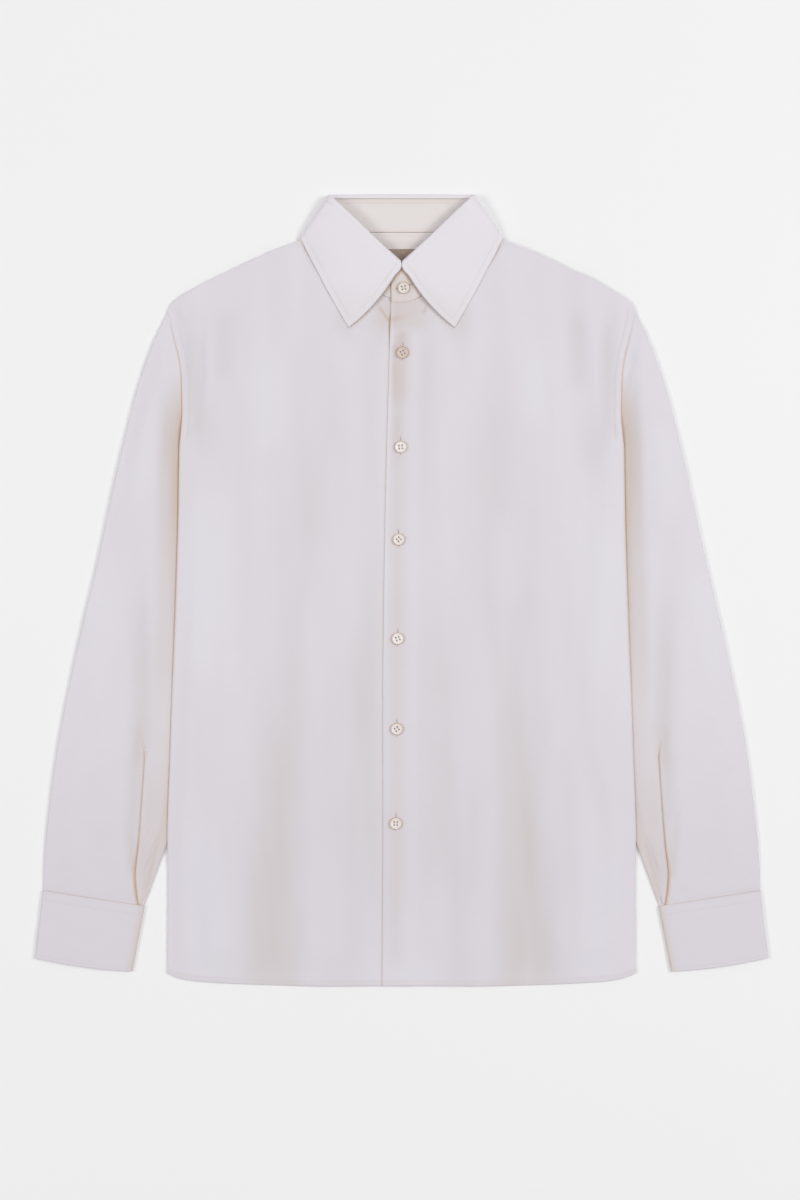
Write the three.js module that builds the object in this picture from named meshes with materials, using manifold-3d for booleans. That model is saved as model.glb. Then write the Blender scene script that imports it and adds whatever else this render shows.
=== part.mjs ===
// A long-sleeved twill shirt laid flat on its back, buttoned to the neck, arms beside the body.
// Units are millimetres. +X is the wearer's left, +Y runs from hem to collar, +Z is up from the table.
import * as THREE from 'three';
import { mergeVertices } from 'three/addons/utils/BufferGeometryUtils.js';
import Module from 'manifold-3d';

const wasm = await Module();
wasm.setup();

// ---- driving sizes --------------------------------------------------------------------------
const WALL = 1.0;              // cloth thickness
const SEAM = 0.3;              // clear gap between neighbouring pieces
const LAYER = WALL + SEAM;     // rise from one cloth layer to the next
const HEM_Y = -393;            // height of the hem's two corners
const SHOULDER_Y = 293;        // height of the shoulder points
const UNDERARM_Y = 153;        // foot of the armhole
const YOKE_Y = 255;            // seam between yoke and back, on the hidden side
const NECK_X = 91;             // half width where the shoulder meets the collar
const BACK_NECK_Y = 369;       // back neck seam
const FACING_X = 16;           // how far the under front reaches past the centre
const LAP_FADE = 18;           // width over which the upper front sinks back to one layer
const BUTTON_R = 5.8;
const BUTTON_T = 2.4;
const LABEL = { halfWidth: 28, low: 331, high: 352 };

const COLOURS = { cloth: 0xe4e1e3, inside: 0xdcd5d2, button: 0xe9e1d3, label: 0x8d8279 };

// ---- outlines -------------------------------------------------------------------------------
// Body edge: armhole above the underarm, side seam below it.
const SIDE = [
  { y: -409, x: 241.0 }, { y: -393, x: 241.0 }, { y: -174, x: 240.0 }, { y: -30, x: 235.0 },
  { y: 93, x: 230.7 }, { y: 153, x: 229.0 }, { y: 180, x: 227.6 }, { y: 221, x: 229.0 },
  { y: 242, x: 232.0 }, { y: 267, x: 237.2 }, { y: 281, x: 240.4 }, { y: 293, x: 243.0 },
];
// Hem, from the centre out.
const HEM = [
  { x: 0, y: -406.4 }, { x: 82, y: -406.76 }, { x: 143, y: -405.2 }, { x: 189, y: -403.0 },
  { x: 215, y: -401.0 }, { x: 232, y: -397.2 }, { x: 241, y: -393.0 },
];
// Front neck seam from the centre out, then the shoulder.
const FRONT_TOP = [
  { x: 0, y: 299.6 }, { x: 14, y: 301.4 }, { x: 24, y: 306.4 }, { x: 46, y: 325.4 },
  { x: 67, y: 345.0 }, { x: 83, y: 359.6 }, { x: NECK_X, y: 366.4 }, { x: 104, y: 360.2 },
  { x: 116, y: 356.4 }, { x: 144, y: 345 }, { x: 171, y: 332 }, { x: 197, y: 320 },
  { x: 219, y: 308 }, { x: 236, y: 297 }, { x: 243, y: 293 },
];
// Front edge of the upper front, which leans a little towards the wearer's right.
const LAP_EDGE = [
  { y: -409, x: -20.6 }, { y: -267, x: -19.6 }, { y: -61, x: -19.6 }, { y: 73, x: -17.5 },
  { y: 196, x: -14.4 }, { y: 275, x: -12.4 }, { y: 301, x: -11.3 },
];
// Sleeve: the outer edge from the shoulder point, and the edge that tucks under the body.
const SLEEVE_OUTER = [
  { t: 0, x: 243.3, y: 293 }, { t: 0.05, x: 252.2, y: 265 }, { t: 0.14, x: 268.2, y: 222 },
  { t: 0.30, x: 291.5, y: 131 }, { t: 0.46, x: 313, y: 32 }, { t: 0.62, x: 335, y: -62 },
  { t: 0.78, x: 355.4, y: -166 }, { t: 0.88, x: 364, y: -230 }, { t: 0.95, x: 368, y: -276 },
  { t: 1, x: 369, y: -308 },
];
const SLEEVE_INNER = [
  { t: 0, x: 229.3, y: 153 }, { t: 0.05, x: 226, y: 134 }, { t: 0.14, x: 222, y: 100 },
  { t: 0.30, x: 217, y: 36 }, { t: 0.46, x: 213, y: -36 }, { t: 0.62, x: 212, y: -106 },
  { t: 0.78, x: 219, y: -182 }, { t: 0.88, x: 232, y: -238 }, { t: 0.95, x: 249, y: -286 },
  { t: 1, x: 265, y: -324 },
];
// Where the columns of every sleeve ring stand, from the inner edge to the outer one.
const SLEEVE_COLUMNS = [0, 0.06, 0.13, 0.2, 0.3, 0.42, 0.55, 0.68, 0.8, 0.9, 1];
const SLEEVE_RINGS = 17;

// Soft folds of the fronts. Each runs along the body from y0 to y1 about x, leaning by dx on the way.
const FOLDS = [
  { x: 205, y0: -420, y1: 120, dx: -4, width: 26, high: 1.3 },
  { x: -205, y0: -420, y1: 120, dx: 4, width: 26, high: 1.3 },
  { x: 126, y0: -430, y1: -60, dx: 14, width: 30, high: -1.1 },
  { x: -127, y0: -430, y1: -60, dx: -8, width: 30, high: -1.1 },
  { x: 62, y0: -430, y1: 60, dx: -8, width: 24, high: 1.4 },
  { x: -66, y0: -430, y1: 60, dx: 8, width: 24, high: 1.4 },
  { x: 150, y0: -60, y1: 330, dx: 10, width: 34, high: 0.9 },
  { x: -150, y0: -60, y1: 330, dx: -10, width: 34, high: 0.9 },
  { x: 210, y0: 130, y1: 330, dx: -2, width: 9, high: -0.7 },
  { x: -210, y0: 130, y1: 330, dx: 2, width: 9, high: -0.7 },
  { x: 3, y0: 120, y1: 300, dx: 0, width: 8, high: -1.0 },
];
const DRAPE = 1.3;             // how far the front floats over the back between folds

// Tucks in the lower sleeve: the cloth on the outer side laps over along this line.
const TUCKS = [
  [{ y: -330, x: 270 }, { y: -298, x: 274 }, { y: -257, x: 271 }, { y: -205, x: 267 }, { y: -120, x: 262 }],
  [{ y: -330, x: 272 }, { y: -295, x: 276 }, { y: -270, x: 279 }, { y: -233, x: 286 }, { y: -180, x: 290 }],
];
const TUCK_HIGH = 1.2;

// The collar band as sections from the centre back round to the front. Each gives the top of the
// stand, its seam to the body, and the free edge of the fall.
const COLLAR = [
  { top: [0, 404.5, 2.35], seam: [0, 369.4, 2.35], edge: [0, 360, 0.5] },
  { top: [34, 404.5, 2.35], seam: [40, 369.4, 2.35], edge: [45, 360, 0.5] },
  { top: [58, 404.5, 2.5], seam: [72, 369.4, 2.35], edge: [80, 360, 0.5] },
  { top: [68.4, 404.6, 3.8], seam: [86, 369.6, 2.4], edge: [96, 360.6, 0.5] },
  { top: [72.4, 404.4, 6.4], seam: [91.6, 369.4, 2.7], edge: [103.6, 363.4, 1.2] },
  { top: [72.8, 403.4, 9.4], seam: [92.2, 368.8, 3.4], edge: [105.6, 362.6, 3.2] },
  { top: [70.6, 401.2, 12.4], seam: [90.4, 367.6, 4.1], edge: [102.8, 359.4, 5.4] },
  { top: [64.2, 394.4, 14.4], seam: [82.8, 360.7, 4.1], edge: [97.5, 349.5, 5.5] },
  { top: [48.6, 379.8, 14.6], seam: [66.8, 346.0, 4.1], edge: [88, 331.5, 5.5] },
  { top: [29.6, 361.8, 12.6], seam: [45.8, 326.5, 4.1], edge: [75.5, 307.5, 5.5] },
];
// Front ends of the fall: they meet at the centre over both ends of the stand.
const FALL_ENDS = [
  { top: [12.8, 346.8, 10.2], seam: [24, 308.5, 4.6], edge: [64, 286, 5.5] },
  { top: [1.6, 335.9, 9.75], seam: [12, 303, 5.6], edge: [55.6, 270.2, 5.5] },
];
const FALL_END_GRIP = 1.85;    // the fall's ends wrap two layers of stand, not one
// Ends of the stand. The lower one is the wearer's right, given here as if it were the left.
const STAND_LOWER_END = [
  { top: [12.8, 346.0, 9.3], seam: [24, 308.1, 4.1] },
  { top: [2.6, 335.6, 8.8], seam: [11.4, 302.5, 4.0] },
  { top: [-5, 333.2, 8.6], seam: [0, 301.4, 4.0] },
  { top: [-11.3, 332.2, 8.5], seam: [-11.3, 302.8, 4.1] },
];
const STAND_UPPER_END = [
  { top: [12.8, 346.0, 9.95], seam: [24, 308.1, 4.9] },
  { top: [2.6, 335.6, 10.2], seam: [11.4, 302.5, 5.5] },
  { top: [-5, 333.2, 10.4], seam: [0, 301, 5.6] },
  { top: [-11.3, 332.2, 10.7], seam: [-11.3, 301, 5.7] },
];
const HOOK = [                 // how the fall wraps the stand's top edge: along the stand, and out
  { along: 4.2, out: -1.4 }, { along: 0.2, out: -1.5 }, { along: -1.7, out: -0.5 },
  { along: -1.7, out: 0.7 }, { along: 0.2, out: 1.6 }, { along: 4.2, out: 1.75 },
];

const BUTTON_SPOTS = [
  { name: 'button_stand', x: 2, y: 313 }, { name: 'button_1', x: 1, y: 245 },
  { name: 'button_2', x: -1, y: 148 }, { name: 'button_3', x: -3, y: 53 },
  { name: 'button_4', x: -4, y: -49 }, { name: 'button_5', x: -5, y: -142 },
  { name: 'button_6', x: -6, y: -239 },
];

// ---- small helpers --------------------------------------------------------------------------
const mix = (a, b, k) => a + (b - a) * k;
const clamp01 = (v) => Math.min(1, Math.max(0, v));
const smooth = (v) => clamp01(v) ** 2 * (3 - 2 * clamp01(v));
const range = (from, to, steps) => Array.from({ length: steps + 1 }, (_, i) => mix(from, to, i / steps));

// Straight-line reading of a table: the value of one column where another has a given value.
function read(table, key, value, column) {
  const up = table[table.length - 1][key] > table[0][key];
  const rows = up ? table : [...table].reverse();
  const last = rows.length - 1;
  let i = 0;
  while (i < last - 1 && rows[i + 1][key] < value) i += 1;
  const k = clamp01((value - rows[i][key]) / (rows[i + 1][key] - rows[i][key]));
  return mix(rows[i][column], rows[i + 1][column], k);
}

const sideX = (y) => read(SIDE, 'y', Math.min(y, SHOULDER_Y), 'x');
const hemY = (x) => read(HEM, 'x', Math.abs(x), 'y');
const lapX = (y) => read(LAP_EDGE, 'y', y, 'x');
const sleeveEdgeX = (y) => read(SLEEVE_INNER, 'y', y, 'x');

// ---- heights --------------------------------------------------------------------------------
const SLEEVE_EDGE_HIGH = 2.5;  // thickness of the sleeve where the body lies on it
const OVER_SLEEVE = SLEEVE_EDGE_HIGH + SEAM;
const COLLAR_UNDER = 1.9;      // height of the yoke where the fall lies under it

// Underside of the back and yoke: flat on the table, raised over the sleeves and the fall.
function backUnder(x, y) {
  const overSleeve = smooth((Math.abs(x) - sleeveEdgeX(y) + 34) / 24)
    * smooth((UNDERARM_Y + 34 - y) / 30) * smooth((y + 340) / 50);
  const overFall = smooth((y - LABEL.high) / 9);
  return Math.max(OVER_SLEEVE * overSleeve, COLLAR_UNDER * overFall);
}

function foldHeight(x, y) {
  let high = DRAPE;
  for (const fold of FOLDS) {
    const along = (y - fold.y0) / (fold.y1 - fold.y0);
    const window = smooth(along * 3) * smooth((1 - along) * 2.2);
    const across = (x - fold.x - fold.dx * clamp01(along)) / fold.width;
    high += fold.high * window * Math.exp(-across * across);
  }
  const nearEdge = smooth((sideX(y) - Math.abs(x)) / 14);
  const nearHem = mix(0.25, 1, smooth((y + 405) / 50));
  return Math.max(0, high) * nearEdge * nearHem;
}

// Underside of the lower front, and of the upper one, which laps over it at the centre.
function frontUnder(x, y) {
  const nearNeck = smooth((y - 262) / 30) * smooth((150 - Math.abs(x)) / 40);
  const high = mix(foldHeight(x, y), 0.4, nearNeck);
  return backUnder(x, y) + LAYER + high + 0.7 * nearNeck * (1 - smooth((y - 340) / 14));
}
function upperFrontUnder(x, y) {
  return frontUnder(x, y) + LAYER * (1 - smooth((x - FACING_X - 1) / LAP_FADE));
}

// ---- solids from grids ----------------------------------------------------------------------
// A closed skin from two grids of points that face away from each other and share a rim.
function shellGeometry(upper, lower) {
  const rows = upper.length;
  const cols = upper[0].length;
  const position = [];
  const index = [];
  for (const grid of [upper, lower]) {
    for (const row of grid) {
      for (const point of row) position.push(...point);
    }
  }
  const at = (layer, r, c) => (layer * rows + r) * cols + c;
  const quad = (a, b, c, d) => index.push(a, b, c, a, c, d);
  for (let r = 0; r < rows - 1; r += 1) {
    for (let c = 0; c < cols - 1; c += 1) {
      quad(at(0, r, c), at(0, r, c + 1), at(0, r + 1, c + 1), at(0, r + 1, c));
      quad(at(1, r, c), at(1, r + 1, c), at(1, r + 1, c + 1), at(1, r, c + 1));
    }
  }
  for (let c = 0; c < cols - 1; c += 1) {
    quad(at(1, 0, c), at(1, 0, c + 1), at(0, 0, c + 1), at(0, 0, c));
    quad(at(0, rows - 1, c), at(0, rows - 1, c + 1), at(1, rows - 1, c + 1), at(1, rows - 1, c));
  }
  for (let r = 0; r < rows - 1; r += 1) {
    quad(at(0, r, 0), at(0, r + 1, 0), at(1, r + 1, 0), at(1, r, 0));
    quad(at(1, r, cols - 1), at(1, r + 1, cols - 1), at(0, r + 1, cols - 1), at(0, r, cols - 1));
  }
  return facingOut(position, index);
}

// An open-ended tube from rings of outer points and matching rings of inner points.
function tubeGeometry(outer, inner) {
  const rings = outer.length;
  const size = outer[0].length;
  const position = [];
  const index = [];
  for (const grid of [outer, inner]) {
    for (const ring of grid) {
      for (const point of ring) position.push(...point);
    }
  }
  const at = (layer, r, c) => (layer * rings + r) * size + (c % size);
  const quad = (a, b, c, d) => index.push(a, b, c, a, c, d);
  for (let c = 0; c < size; c += 1) {
    for (let r = 0; r < rings - 1; r += 1) {
      quad(at(0, r, c), at(0, r, c + 1), at(0, r + 1, c + 1), at(0, r + 1, c));
      quad(at(1, r, c), at(1, r + 1, c), at(1, r + 1, c + 1), at(1, r, c + 1));
    }
    quad(at(1, 0, c), at(1, 0, c + 1), at(0, 0, c + 1), at(0, 0, c));
    quad(at(0, rings - 1, c), at(0, rings - 1, c + 1), at(1, rings - 1, c + 1), at(1, rings - 1, c));
  }
  return facingOut(position, index);
}

// Turns the triangles over where they enclose a negative volume.
function facingOut(position, index) {
  let volume = 0;
  const corner = (i) => new THREE.Vector3(position[3 * i], position[3 * i + 1], position[3 * i + 2]);
  for (let i = 0; i < index.length; i += 3) {
    volume += corner(index[i]).dot(corner(index[i + 1]).cross(corner(index[i + 2])));
  }
  const ordered = volume >= 0 ? index : index.slice().reverse();
  const geometry = new THREE.BufferGeometry();
  geometry.setAttribute('position', new THREE.Float32BufferAttribute(position, 3));
  geometry.setIndex(ordered);
  return geometry;
}

// A cloth layer over a grid of plan points, with its underside at a given height.
function layerGeometry(plan, under) {
  const lower = plan.map((row) => row.map(([x, y]) => [x, y, under(x, y)]));
  const upper = lower.map((row) => row.map(([x, y, z]) => [x, y, z + WALL]));
  return shellGeometry(upper, lower);
}

// ---- body -----------------------------------------------------------------------------------
const ARMHOLE_ROWS = SLEEVE_COLUMNS.map((w) => mix(UNDERARM_Y, SHOULDER_Y, w));

// Rows of plan points. A column stands at a share of the half width, so that stacked layers line
// up; the first column of a front is its own centre edge. A row is named by its height at the side.
const BODY_ROWS = [...range(HEM_Y, UNDERARM_Y, 13).slice(0, -1), ...ARMHOLE_ROWS];
const SHARES = [0, 0.07, 0.14, 0.24, 0.36, 0.48, 0.6, 0.72, 0.82, 0.88, 0.92, 0.96, 1];
const frontTop = (x) => read(FRONT_TOP, 'x', Math.abs(x), 'y');

function columnPoint(xAt, low, high, v) {
  const y = mix(low(xAt(HEM_Y)), high(xAt(SHOULDER_Y)), v);
  return [xAt(y), y];
}

function frontPlan(edge) {
  return BODY_ROWS.map((rowY) => {
    const v = (rowY - HEM_Y) / (SHOULDER_Y - HEM_Y);
    const columns = [edge, ...SHARES.map((share) => (y) => share * sideX(y))];
    return columns.map((xAt) => columnPoint(xAt, hemY, frontTop, v));
  });
}

function frontLeft() {
  return layerGeometry(frontPlan(lapX), upperFrontUnder);
}

function frontRight() {
  const plan = frontPlan(() => -FACING_X).map((row) => row.map(([x, y]) => [-x, y]));
  return layerGeometry(plan, frontUnder);
}

function backBody() {
  const seamY = YOKE_Y - SEAM / 2;
  const rows = [...BODY_ROWS.filter((y) => y < YOKE_Y - 3), seamY];
  const half = [0, 0.4, ...SHARES.slice(SHARES.indexOf(0.72))];
  const across = [...half.slice(1).reverse().map((share) => -share), ...half];
  const plan = rows.map((rowY) => across.map((share) => {
    const v = (rowY - HEM_Y) / (seamY - HEM_Y);
    const xAt = (y) => share * sideX(y);
    return columnPoint(xAt, (x) => hemY(x) + 1.5 * (1 - Math.abs(share)), () => seamY, v);
  }));
  return layerGeometry(plan, backUnder);
}

function yokeTop(x) {
  const shoulder = frontTop(Math.max(Math.abs(x), NECK_X));
  return Math.abs(x) < NECK_X - 3 ? BACK_NECK_Y - SEAM : shoulder;
}

function yoke() {
  const foot = YOKE_Y + SEAM / 2;
  const YOKE_ROWS = [foot, 285, 315, 338, LABEL.high, 356, 361, BACK_NECK_Y - SEAM];
  const rows = [foot, ...ARMHOLE_ROWS.filter((y) => y > YOKE_Y + 3)];
  const tall = YOKE_ROWS.map((y) => (y - foot) / (BACK_NECK_Y - SEAM - foot));
  const halves = [0, 0.12, 0.24, 0.35, NECK_X / 243, 0.43, 0.48, 0.6, 0.7, 0.81, 0.9, 1];
  const across = [...halves.slice(1).reverse().map((u) => -u), ...halves];
  const outerRow = (v) => read(rows.map((y, i) => ({ y, i: i / (rows.length - 1) })), 'i', v, 'y');
  const plan = tall.map((v) => across.map((u) => {
    const x = u * 243;
    const rise = Math.abs(u) === 1 ? outerRow(v) : mix(foot, yokeTop(x), v);
    return [Math.sign(u) * mix(0, sideX(rise), Math.abs(u)), rise];
  }));
  return layerGeometry(plan, backUnder);
}

// ---- sleeves and cuffs ----------------------------------------------------------------------
function sleevePoint(t, w) {
  const inner = [read(SLEEVE_INNER, 't', t, 'x'), read(SLEEVE_INNER, 't', t, 'y')];
  const outer = [read(SLEEVE_OUTER, 't', t, 'x'), read(SLEEVE_OUTER, 't', t, 'y')];
  const straight = [mix(inner[0], outer[0], w), mix(inner[1], outer[1], w)];
  const rowY = mix(UNDERARM_Y, SHOULDER_Y, w);
  const curve = sideX(rowY) + SEAM - mix(229.3, 243.3, w);
  const keep = (1 - t) ** 6;
  return [straight[0] + curve * keep, straight[1]];
}

// Height of a sleeve's upper face: thin where the body lies on it, fuller outside, tucked below.
function sleeveTop(x, y, w) {
  const clearOfBody = smooth((x - sideX(y) - 3) / 22);
  const roundEdge = smooth((1 - w) * 9);
  const full = 1.9 * clearOfBody * roundEdge * smooth((y + 318) / 30);
  let tuck = 0;
  TUCKS.forEach((line, i) => {
    const top = line[line.length - 1].y;
    const window = smooth((top + 40 - y) / 90) * smooth((y + 324) / 12);
    const past = x - read(line, 'y', y, 'x');
    tuck += (i === 0 ? TUCK_HIGH : 0.6) * window * smooth((past + 3) / 6) * (1 - smooth((past - 6) / 30));
  });
  return SLEEVE_EDGE_HIGH + full + tuck * clearOfBody;
}

// A flattened tube whose rings run out along the table and back on top.
function flatTube(rings, columns, plan, top, side) {
  const outer = [];
  const inner = [];
  for (const t of rings) {
    const spine = columns.map((w) => {
      const [x, y] = plan(t, w);
      return { x, y, high: top(x, y, w) };
    });
    const inset = (k) => {
      const a = spine[k === 0 ? 0 : k - 1];
      const b = spine[k === 0 ? 1 : k];
      const step = Math.hypot(b.x - a.x, b.y - a.y);
      const lean = ((k === 0 ? 1 : -1) * WALL) / step;
      return [spine[k].x + (b.x - a.x) * lean, spine[k].y + (b.y - a.y) * lean];
    };
    const last = spine.length - 1;
    const ends = [inset(0), inset(last)];
    const inside = spine.map((p, k) => (k === 0 ? ends[0] : k === last ? ends[1] : [p.x, p.y]));
    const sideways = (p) => side * p;
    outer.push([
      ...spine.map((p) => [sideways(p.x), p.y, 0]),
      ...[...spine].reverse().map((p) => [sideways(p.x), p.y, p.high]),
    ]);
    inner.push([
      ...inside.map(([x, y]) => [sideways(x), y, WALL]),
      ...inside.map(([x, y], k) => [sideways(x), y, spine[k].high - WALL]).reverse(),
    ]);
  }
  return tubeGeometry(outer, inner);
}

function sleeve(side) {
  const rings = range(0, 1, SLEEVE_RINGS);
  return flatTube(rings, SLEEVE_COLUMNS, sleevePoint, sleeveTop, side);
}

const CUFF = { topInner: [265, -324], topOuter: [369, -308], lowInner: [278, -391.6], lowOuter: [378, -377.6] };
function cuffPoint(t, w) {
  const bow = -1.8 * t * 4 * w * (1 - w);
  const gap = SEAM * (1 - t);
  const x = mix(mix(CUFF.topInner[0], CUFF.topOuter[0], w), mix(CUFF.lowInner[0], CUFF.lowOuter[0], w), t);
  const y = mix(mix(CUFF.topInner[1], CUFF.topOuter[1], w), mix(CUFF.lowInner[1], CUFF.lowOuter[1], w), t);
  return [x + 0.15 * gap, y - gap * 1.1 + bow];
}
function cuffTop(x, y, w) {
  return 2.6 + 1.7 * smooth(w * 8) * smooth((1 - w) * 8);
}

// ---- collar ---------------------------------------------------------------------------------
const vec = (p) => new THREE.Vector3(...p);
const flip = (p) => [-p[0], p[1], p[2]];
const mirrorRow = (row) => Object.fromEntries(Object.entries(row).map(([k, p]) => [k, flip(p)]));

// Sections of the whole band from the wearer's right end to the left one.
function bandSections(endRight, endLeft) {
  const half = COLLAR.slice(1);
  return [...endRight.map(mirrorRow).reverse(), ...half.map(mirrorRow).reverse(), ...COLLAR, ...endLeft];
}

// Directions at a section: down the stand, along the band, and out of the loop.
function sectionFrames(sections) {
  return sections.map((row, i) => {
    const before = vec(sections[Math.max(0, i - 1)].top).add(vec(sections[Math.max(0, i - 1)].seam));
    const nextRow = sections[Math.min(sections.length - 1, i + 1)];
    const after = vec(nextRow.top).add(vec(nextRow.seam));
    const along = after.sub(before).normalize();
    const down = vec(row.seam).sub(vec(row.top)).normalize();
    const out = new THREE.Vector3().crossVectors(along, down).normalize();
    return { down, out };
  });
}

// A strip of cloth from rows of middle points, thickened along each point's own normal.
function stripGeometry(grid) {
  const rows = grid.length;
  const cols = grid[0].length;
  const pick = (r, c) => grid[Math.min(rows - 1, Math.max(0, r))][Math.min(cols - 1, Math.max(0, c))];
  const faces = [1, -1].map((way) => grid.map((row, r) => row.map((point, c) => {
    const alongRow = pick(r, c + 1).clone().sub(pick(r, c - 1));
    const alongCol = pick(r + 1, c).clone().sub(pick(r - 1, c));
    const normal = alongRow.cross(alongCol).normalize();
    return point.clone().addScaledVector(normal, (way * WALL) / 2).toArray();
  })));
  return shellGeometry(faces[0], faces[1]);
}

function collarStand() {
  const sections = bandSections(STAND_LOWER_END, STAND_UPPER_END);
  const grid = sections.map((row) => range(0, 1, 3).map((k) => vec(row.top).lerp(vec(row.seam), k)));
  return stripGeometry(grid);
}

function collarFall() {
  const sections = bandSections(FALL_ENDS, FALL_ENDS);
  const frames = sectionFrames(sections);
  const grid = sections.map((row, i) => {
    const { down, out } = frames[i];
    const fromEnd = Math.min(i, sections.length - 1 - i);
    const grip = fromEnd < FALL_ENDS.length ? FALL_END_GRIP : 1;
    const hook = HOOK.map((h) => {
      return vec(row.top).addScaledVector(down, h.along).addScaledVector(out, h.out * grip);
    });
    const start = hook[hook.length - 1];
    const rest = range(0, 1, 4).slice(1).map((k) => start.clone().lerp(vec(row.edge), k));
    return [...hook, ...rest];
  });
  return stripGeometry(grid);
}

// ---- label and buttons ----------------------------------------------------------------------
function neckLabel() {
  const plan = range(LABEL.low, LABEL.high, 2).map((y) => range(-1, 1, 2).map((u) => [u * LABEL.halfWidth, y]));
  return layerGeometry(plan, (x, y) => backUnder(x, y) + LAYER);
}

function solid(geometry) {
  const bare = geometry.clone();
  bare.deleteAttribute('normal');
  bare.deleteAttribute('uv');
  const merged = mergeVertices(bare);
  return new wasm.Manifold(new wasm.Mesh({
    numProp: 3,
    vertProperties: new Float32Array(merged.attributes.position.array),
    triVerts: new Uint32Array(merged.index.array),
  }));
}

// A dished four-hole button standing on its back at the origin.
function buttonGeometry() {
  const profile = [
    [0, 0], [BUTTON_R - 0.8, 0], [BUTTON_R, 0.9], [BUTTON_R - 0.3, BUTTON_T - 0.3],
    [BUTTON_R - 1.1, BUTTON_T], [BUTTON_R - 2.0, BUTTON_T - 0.7], [0, BUTTON_T - 0.9],
  ].map(([r, z]) => new THREE.Vector2(r, z));
  let disc = solid(new THREE.LatheGeometry(profile, 24).rotateX(Math.PI / 2));
  for (const [sx, sy] of [[1, 1], [1, -1], [-1, 1], [-1, -1]]) {
    const hole = new THREE.CylinderGeometry(0.75, 0.75, 3 * BUTTON_T, 8).rotateX(Math.PI / 2);
    disc = disc.subtract(solid(hole.translate(1.25 * sx, 1.25 * sy, 0)));
  }
  const mesh = disc.getMesh();
  const geometry = new THREE.BufferGeometry();
  geometry.setAttribute('position', new THREE.Float32BufferAttribute(mesh.vertProperties, 3));
  geometry.setIndex(Array.from(mesh.triVerts));
  return geometry;
}

// ---- the shirt ------------------------------------------------------------------------------
const finishes = {
  cloth: { color: COLOURS.cloth, roughness: 0.92, metalness: 0 },
  inside: { color: COLOURS.inside, roughness: 0.95, metalness: 0 },
  button: { color: COLOURS.button, roughness: 0.35, metalness: 0 },
  label: { color: COLOURS.label, roughness: 0.8, metalness: 0 },
};
const shirt = new THREE.Group();

function add(name, geometry, finish) {
  const mesh = new THREE.Mesh(geometry, new THREE.MeshStandardMaterial(finishes[finish]));
  mesh.name = name;
  shirt.add(mesh);
  return mesh;
}

add('back_body', backBody(), 'cloth');
add('yoke', yoke(), 'inside');
add('front_right', frontRight(), 'cloth');
add('front_left', frontLeft(), 'cloth');
for (const [word, side] of [['left', 1], ['right', -1]]) {
  add(`sleeve_${word}`, sleeve(side), 'cloth');
  add(`cuff_${word}`, flatTube(range(0, 1, 3), SLEEVE_COLUMNS, cuffPoint, cuffTop, side), 'cloth');
}
add('collar_stand', collarStand(), 'cloth');
add('collar_fall', collarFall(), 'cloth');
add('neck_label', neckLabel(), 'label');

function buttonSeat(spot) {
  if (spot.name === 'button_stand') return { z: 8.05, tilt: 0.123 };
  const around = range(0, 2 * Math.PI, 12).map((a) => {
    return upperFrontUnder(spot.x + BUTTON_R * Math.cos(a), spot.y + BUTTON_R * Math.sin(a));
  });
  return { z: Math.max(...around) + LAYER, tilt: 0 };
}
for (const spot of BUTTON_SPOTS) {
  const seat = buttonSeat(spot);
  const button = add(spot.name, buttonGeometry(), 'button');
  button.position.set(spot.x, spot.y, seat.z);
  button.rotation.x = seat.tilt;
}

export default shirt;
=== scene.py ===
"""A long-sleeved twill shirt laid flat on its back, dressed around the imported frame.

Lengths in the tables are millimetres in the frame's own axes: X to the wearer's left, Y from hem to
collar, Z up from the table. They become metres when a mesh is made.
"""
import math
import bpy
import numpy as np
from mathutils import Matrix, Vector
from mathutils.bvhtree import BVHTree


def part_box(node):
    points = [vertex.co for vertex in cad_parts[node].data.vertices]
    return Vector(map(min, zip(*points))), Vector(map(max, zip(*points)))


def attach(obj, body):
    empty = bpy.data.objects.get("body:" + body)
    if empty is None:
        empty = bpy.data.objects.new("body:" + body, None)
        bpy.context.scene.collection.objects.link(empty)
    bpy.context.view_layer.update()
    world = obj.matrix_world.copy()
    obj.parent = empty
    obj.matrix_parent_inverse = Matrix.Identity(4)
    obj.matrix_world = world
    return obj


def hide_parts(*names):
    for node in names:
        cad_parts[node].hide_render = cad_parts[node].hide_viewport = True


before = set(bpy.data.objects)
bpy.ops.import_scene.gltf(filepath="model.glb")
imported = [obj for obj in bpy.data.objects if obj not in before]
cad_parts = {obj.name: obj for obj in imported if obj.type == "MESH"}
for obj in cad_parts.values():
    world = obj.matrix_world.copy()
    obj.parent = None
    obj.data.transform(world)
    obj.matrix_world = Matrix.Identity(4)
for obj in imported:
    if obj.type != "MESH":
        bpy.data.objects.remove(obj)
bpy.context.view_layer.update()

MM = 0.001
ROOT = "root"

# ---- cloth and layers -------------------------------------------------------------------------
PLY = 0.7  # thickness of one layer of twill as it is modelled here
DOUBLE = 1.25  # thickness where the cloth is turned under
LAYER = 1.3  # height of one layer over the next
SHOULDER_Y, UNDERARM_Y = 288.0, 153.0  # upper and lower ends of the armholes
YOKE_Y = 255.0  # seam of the yoke with the back
NECK_X, BACK_NECK_Y = 91.0, 369.0  # outer end of the neck seam, and the seam's height at the back
HALF_WIDTH = 240.8  # at the shoulders
HEM_LEVEL, NECK_LEVEL = -400.0, 300.0  # near the foot and the top of the fronts' centre edges
BACK_HEM_LIFT = 1.5  # of the back's hem above the fronts', at the middle
YOKE_SEAM = 0.3  # half the gap between the back and the yoke
FACING_EDGE = 12.5  # reach of the upper front's turned-under facing, and of the under front
LABEL = {"half_width": 28.0, "low": 331.0, "high": 352.0}
LABEL_THICK, LABEL_LIFT = 0.5, 0.45  # of the tape, and of its middle above the yoke

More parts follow.
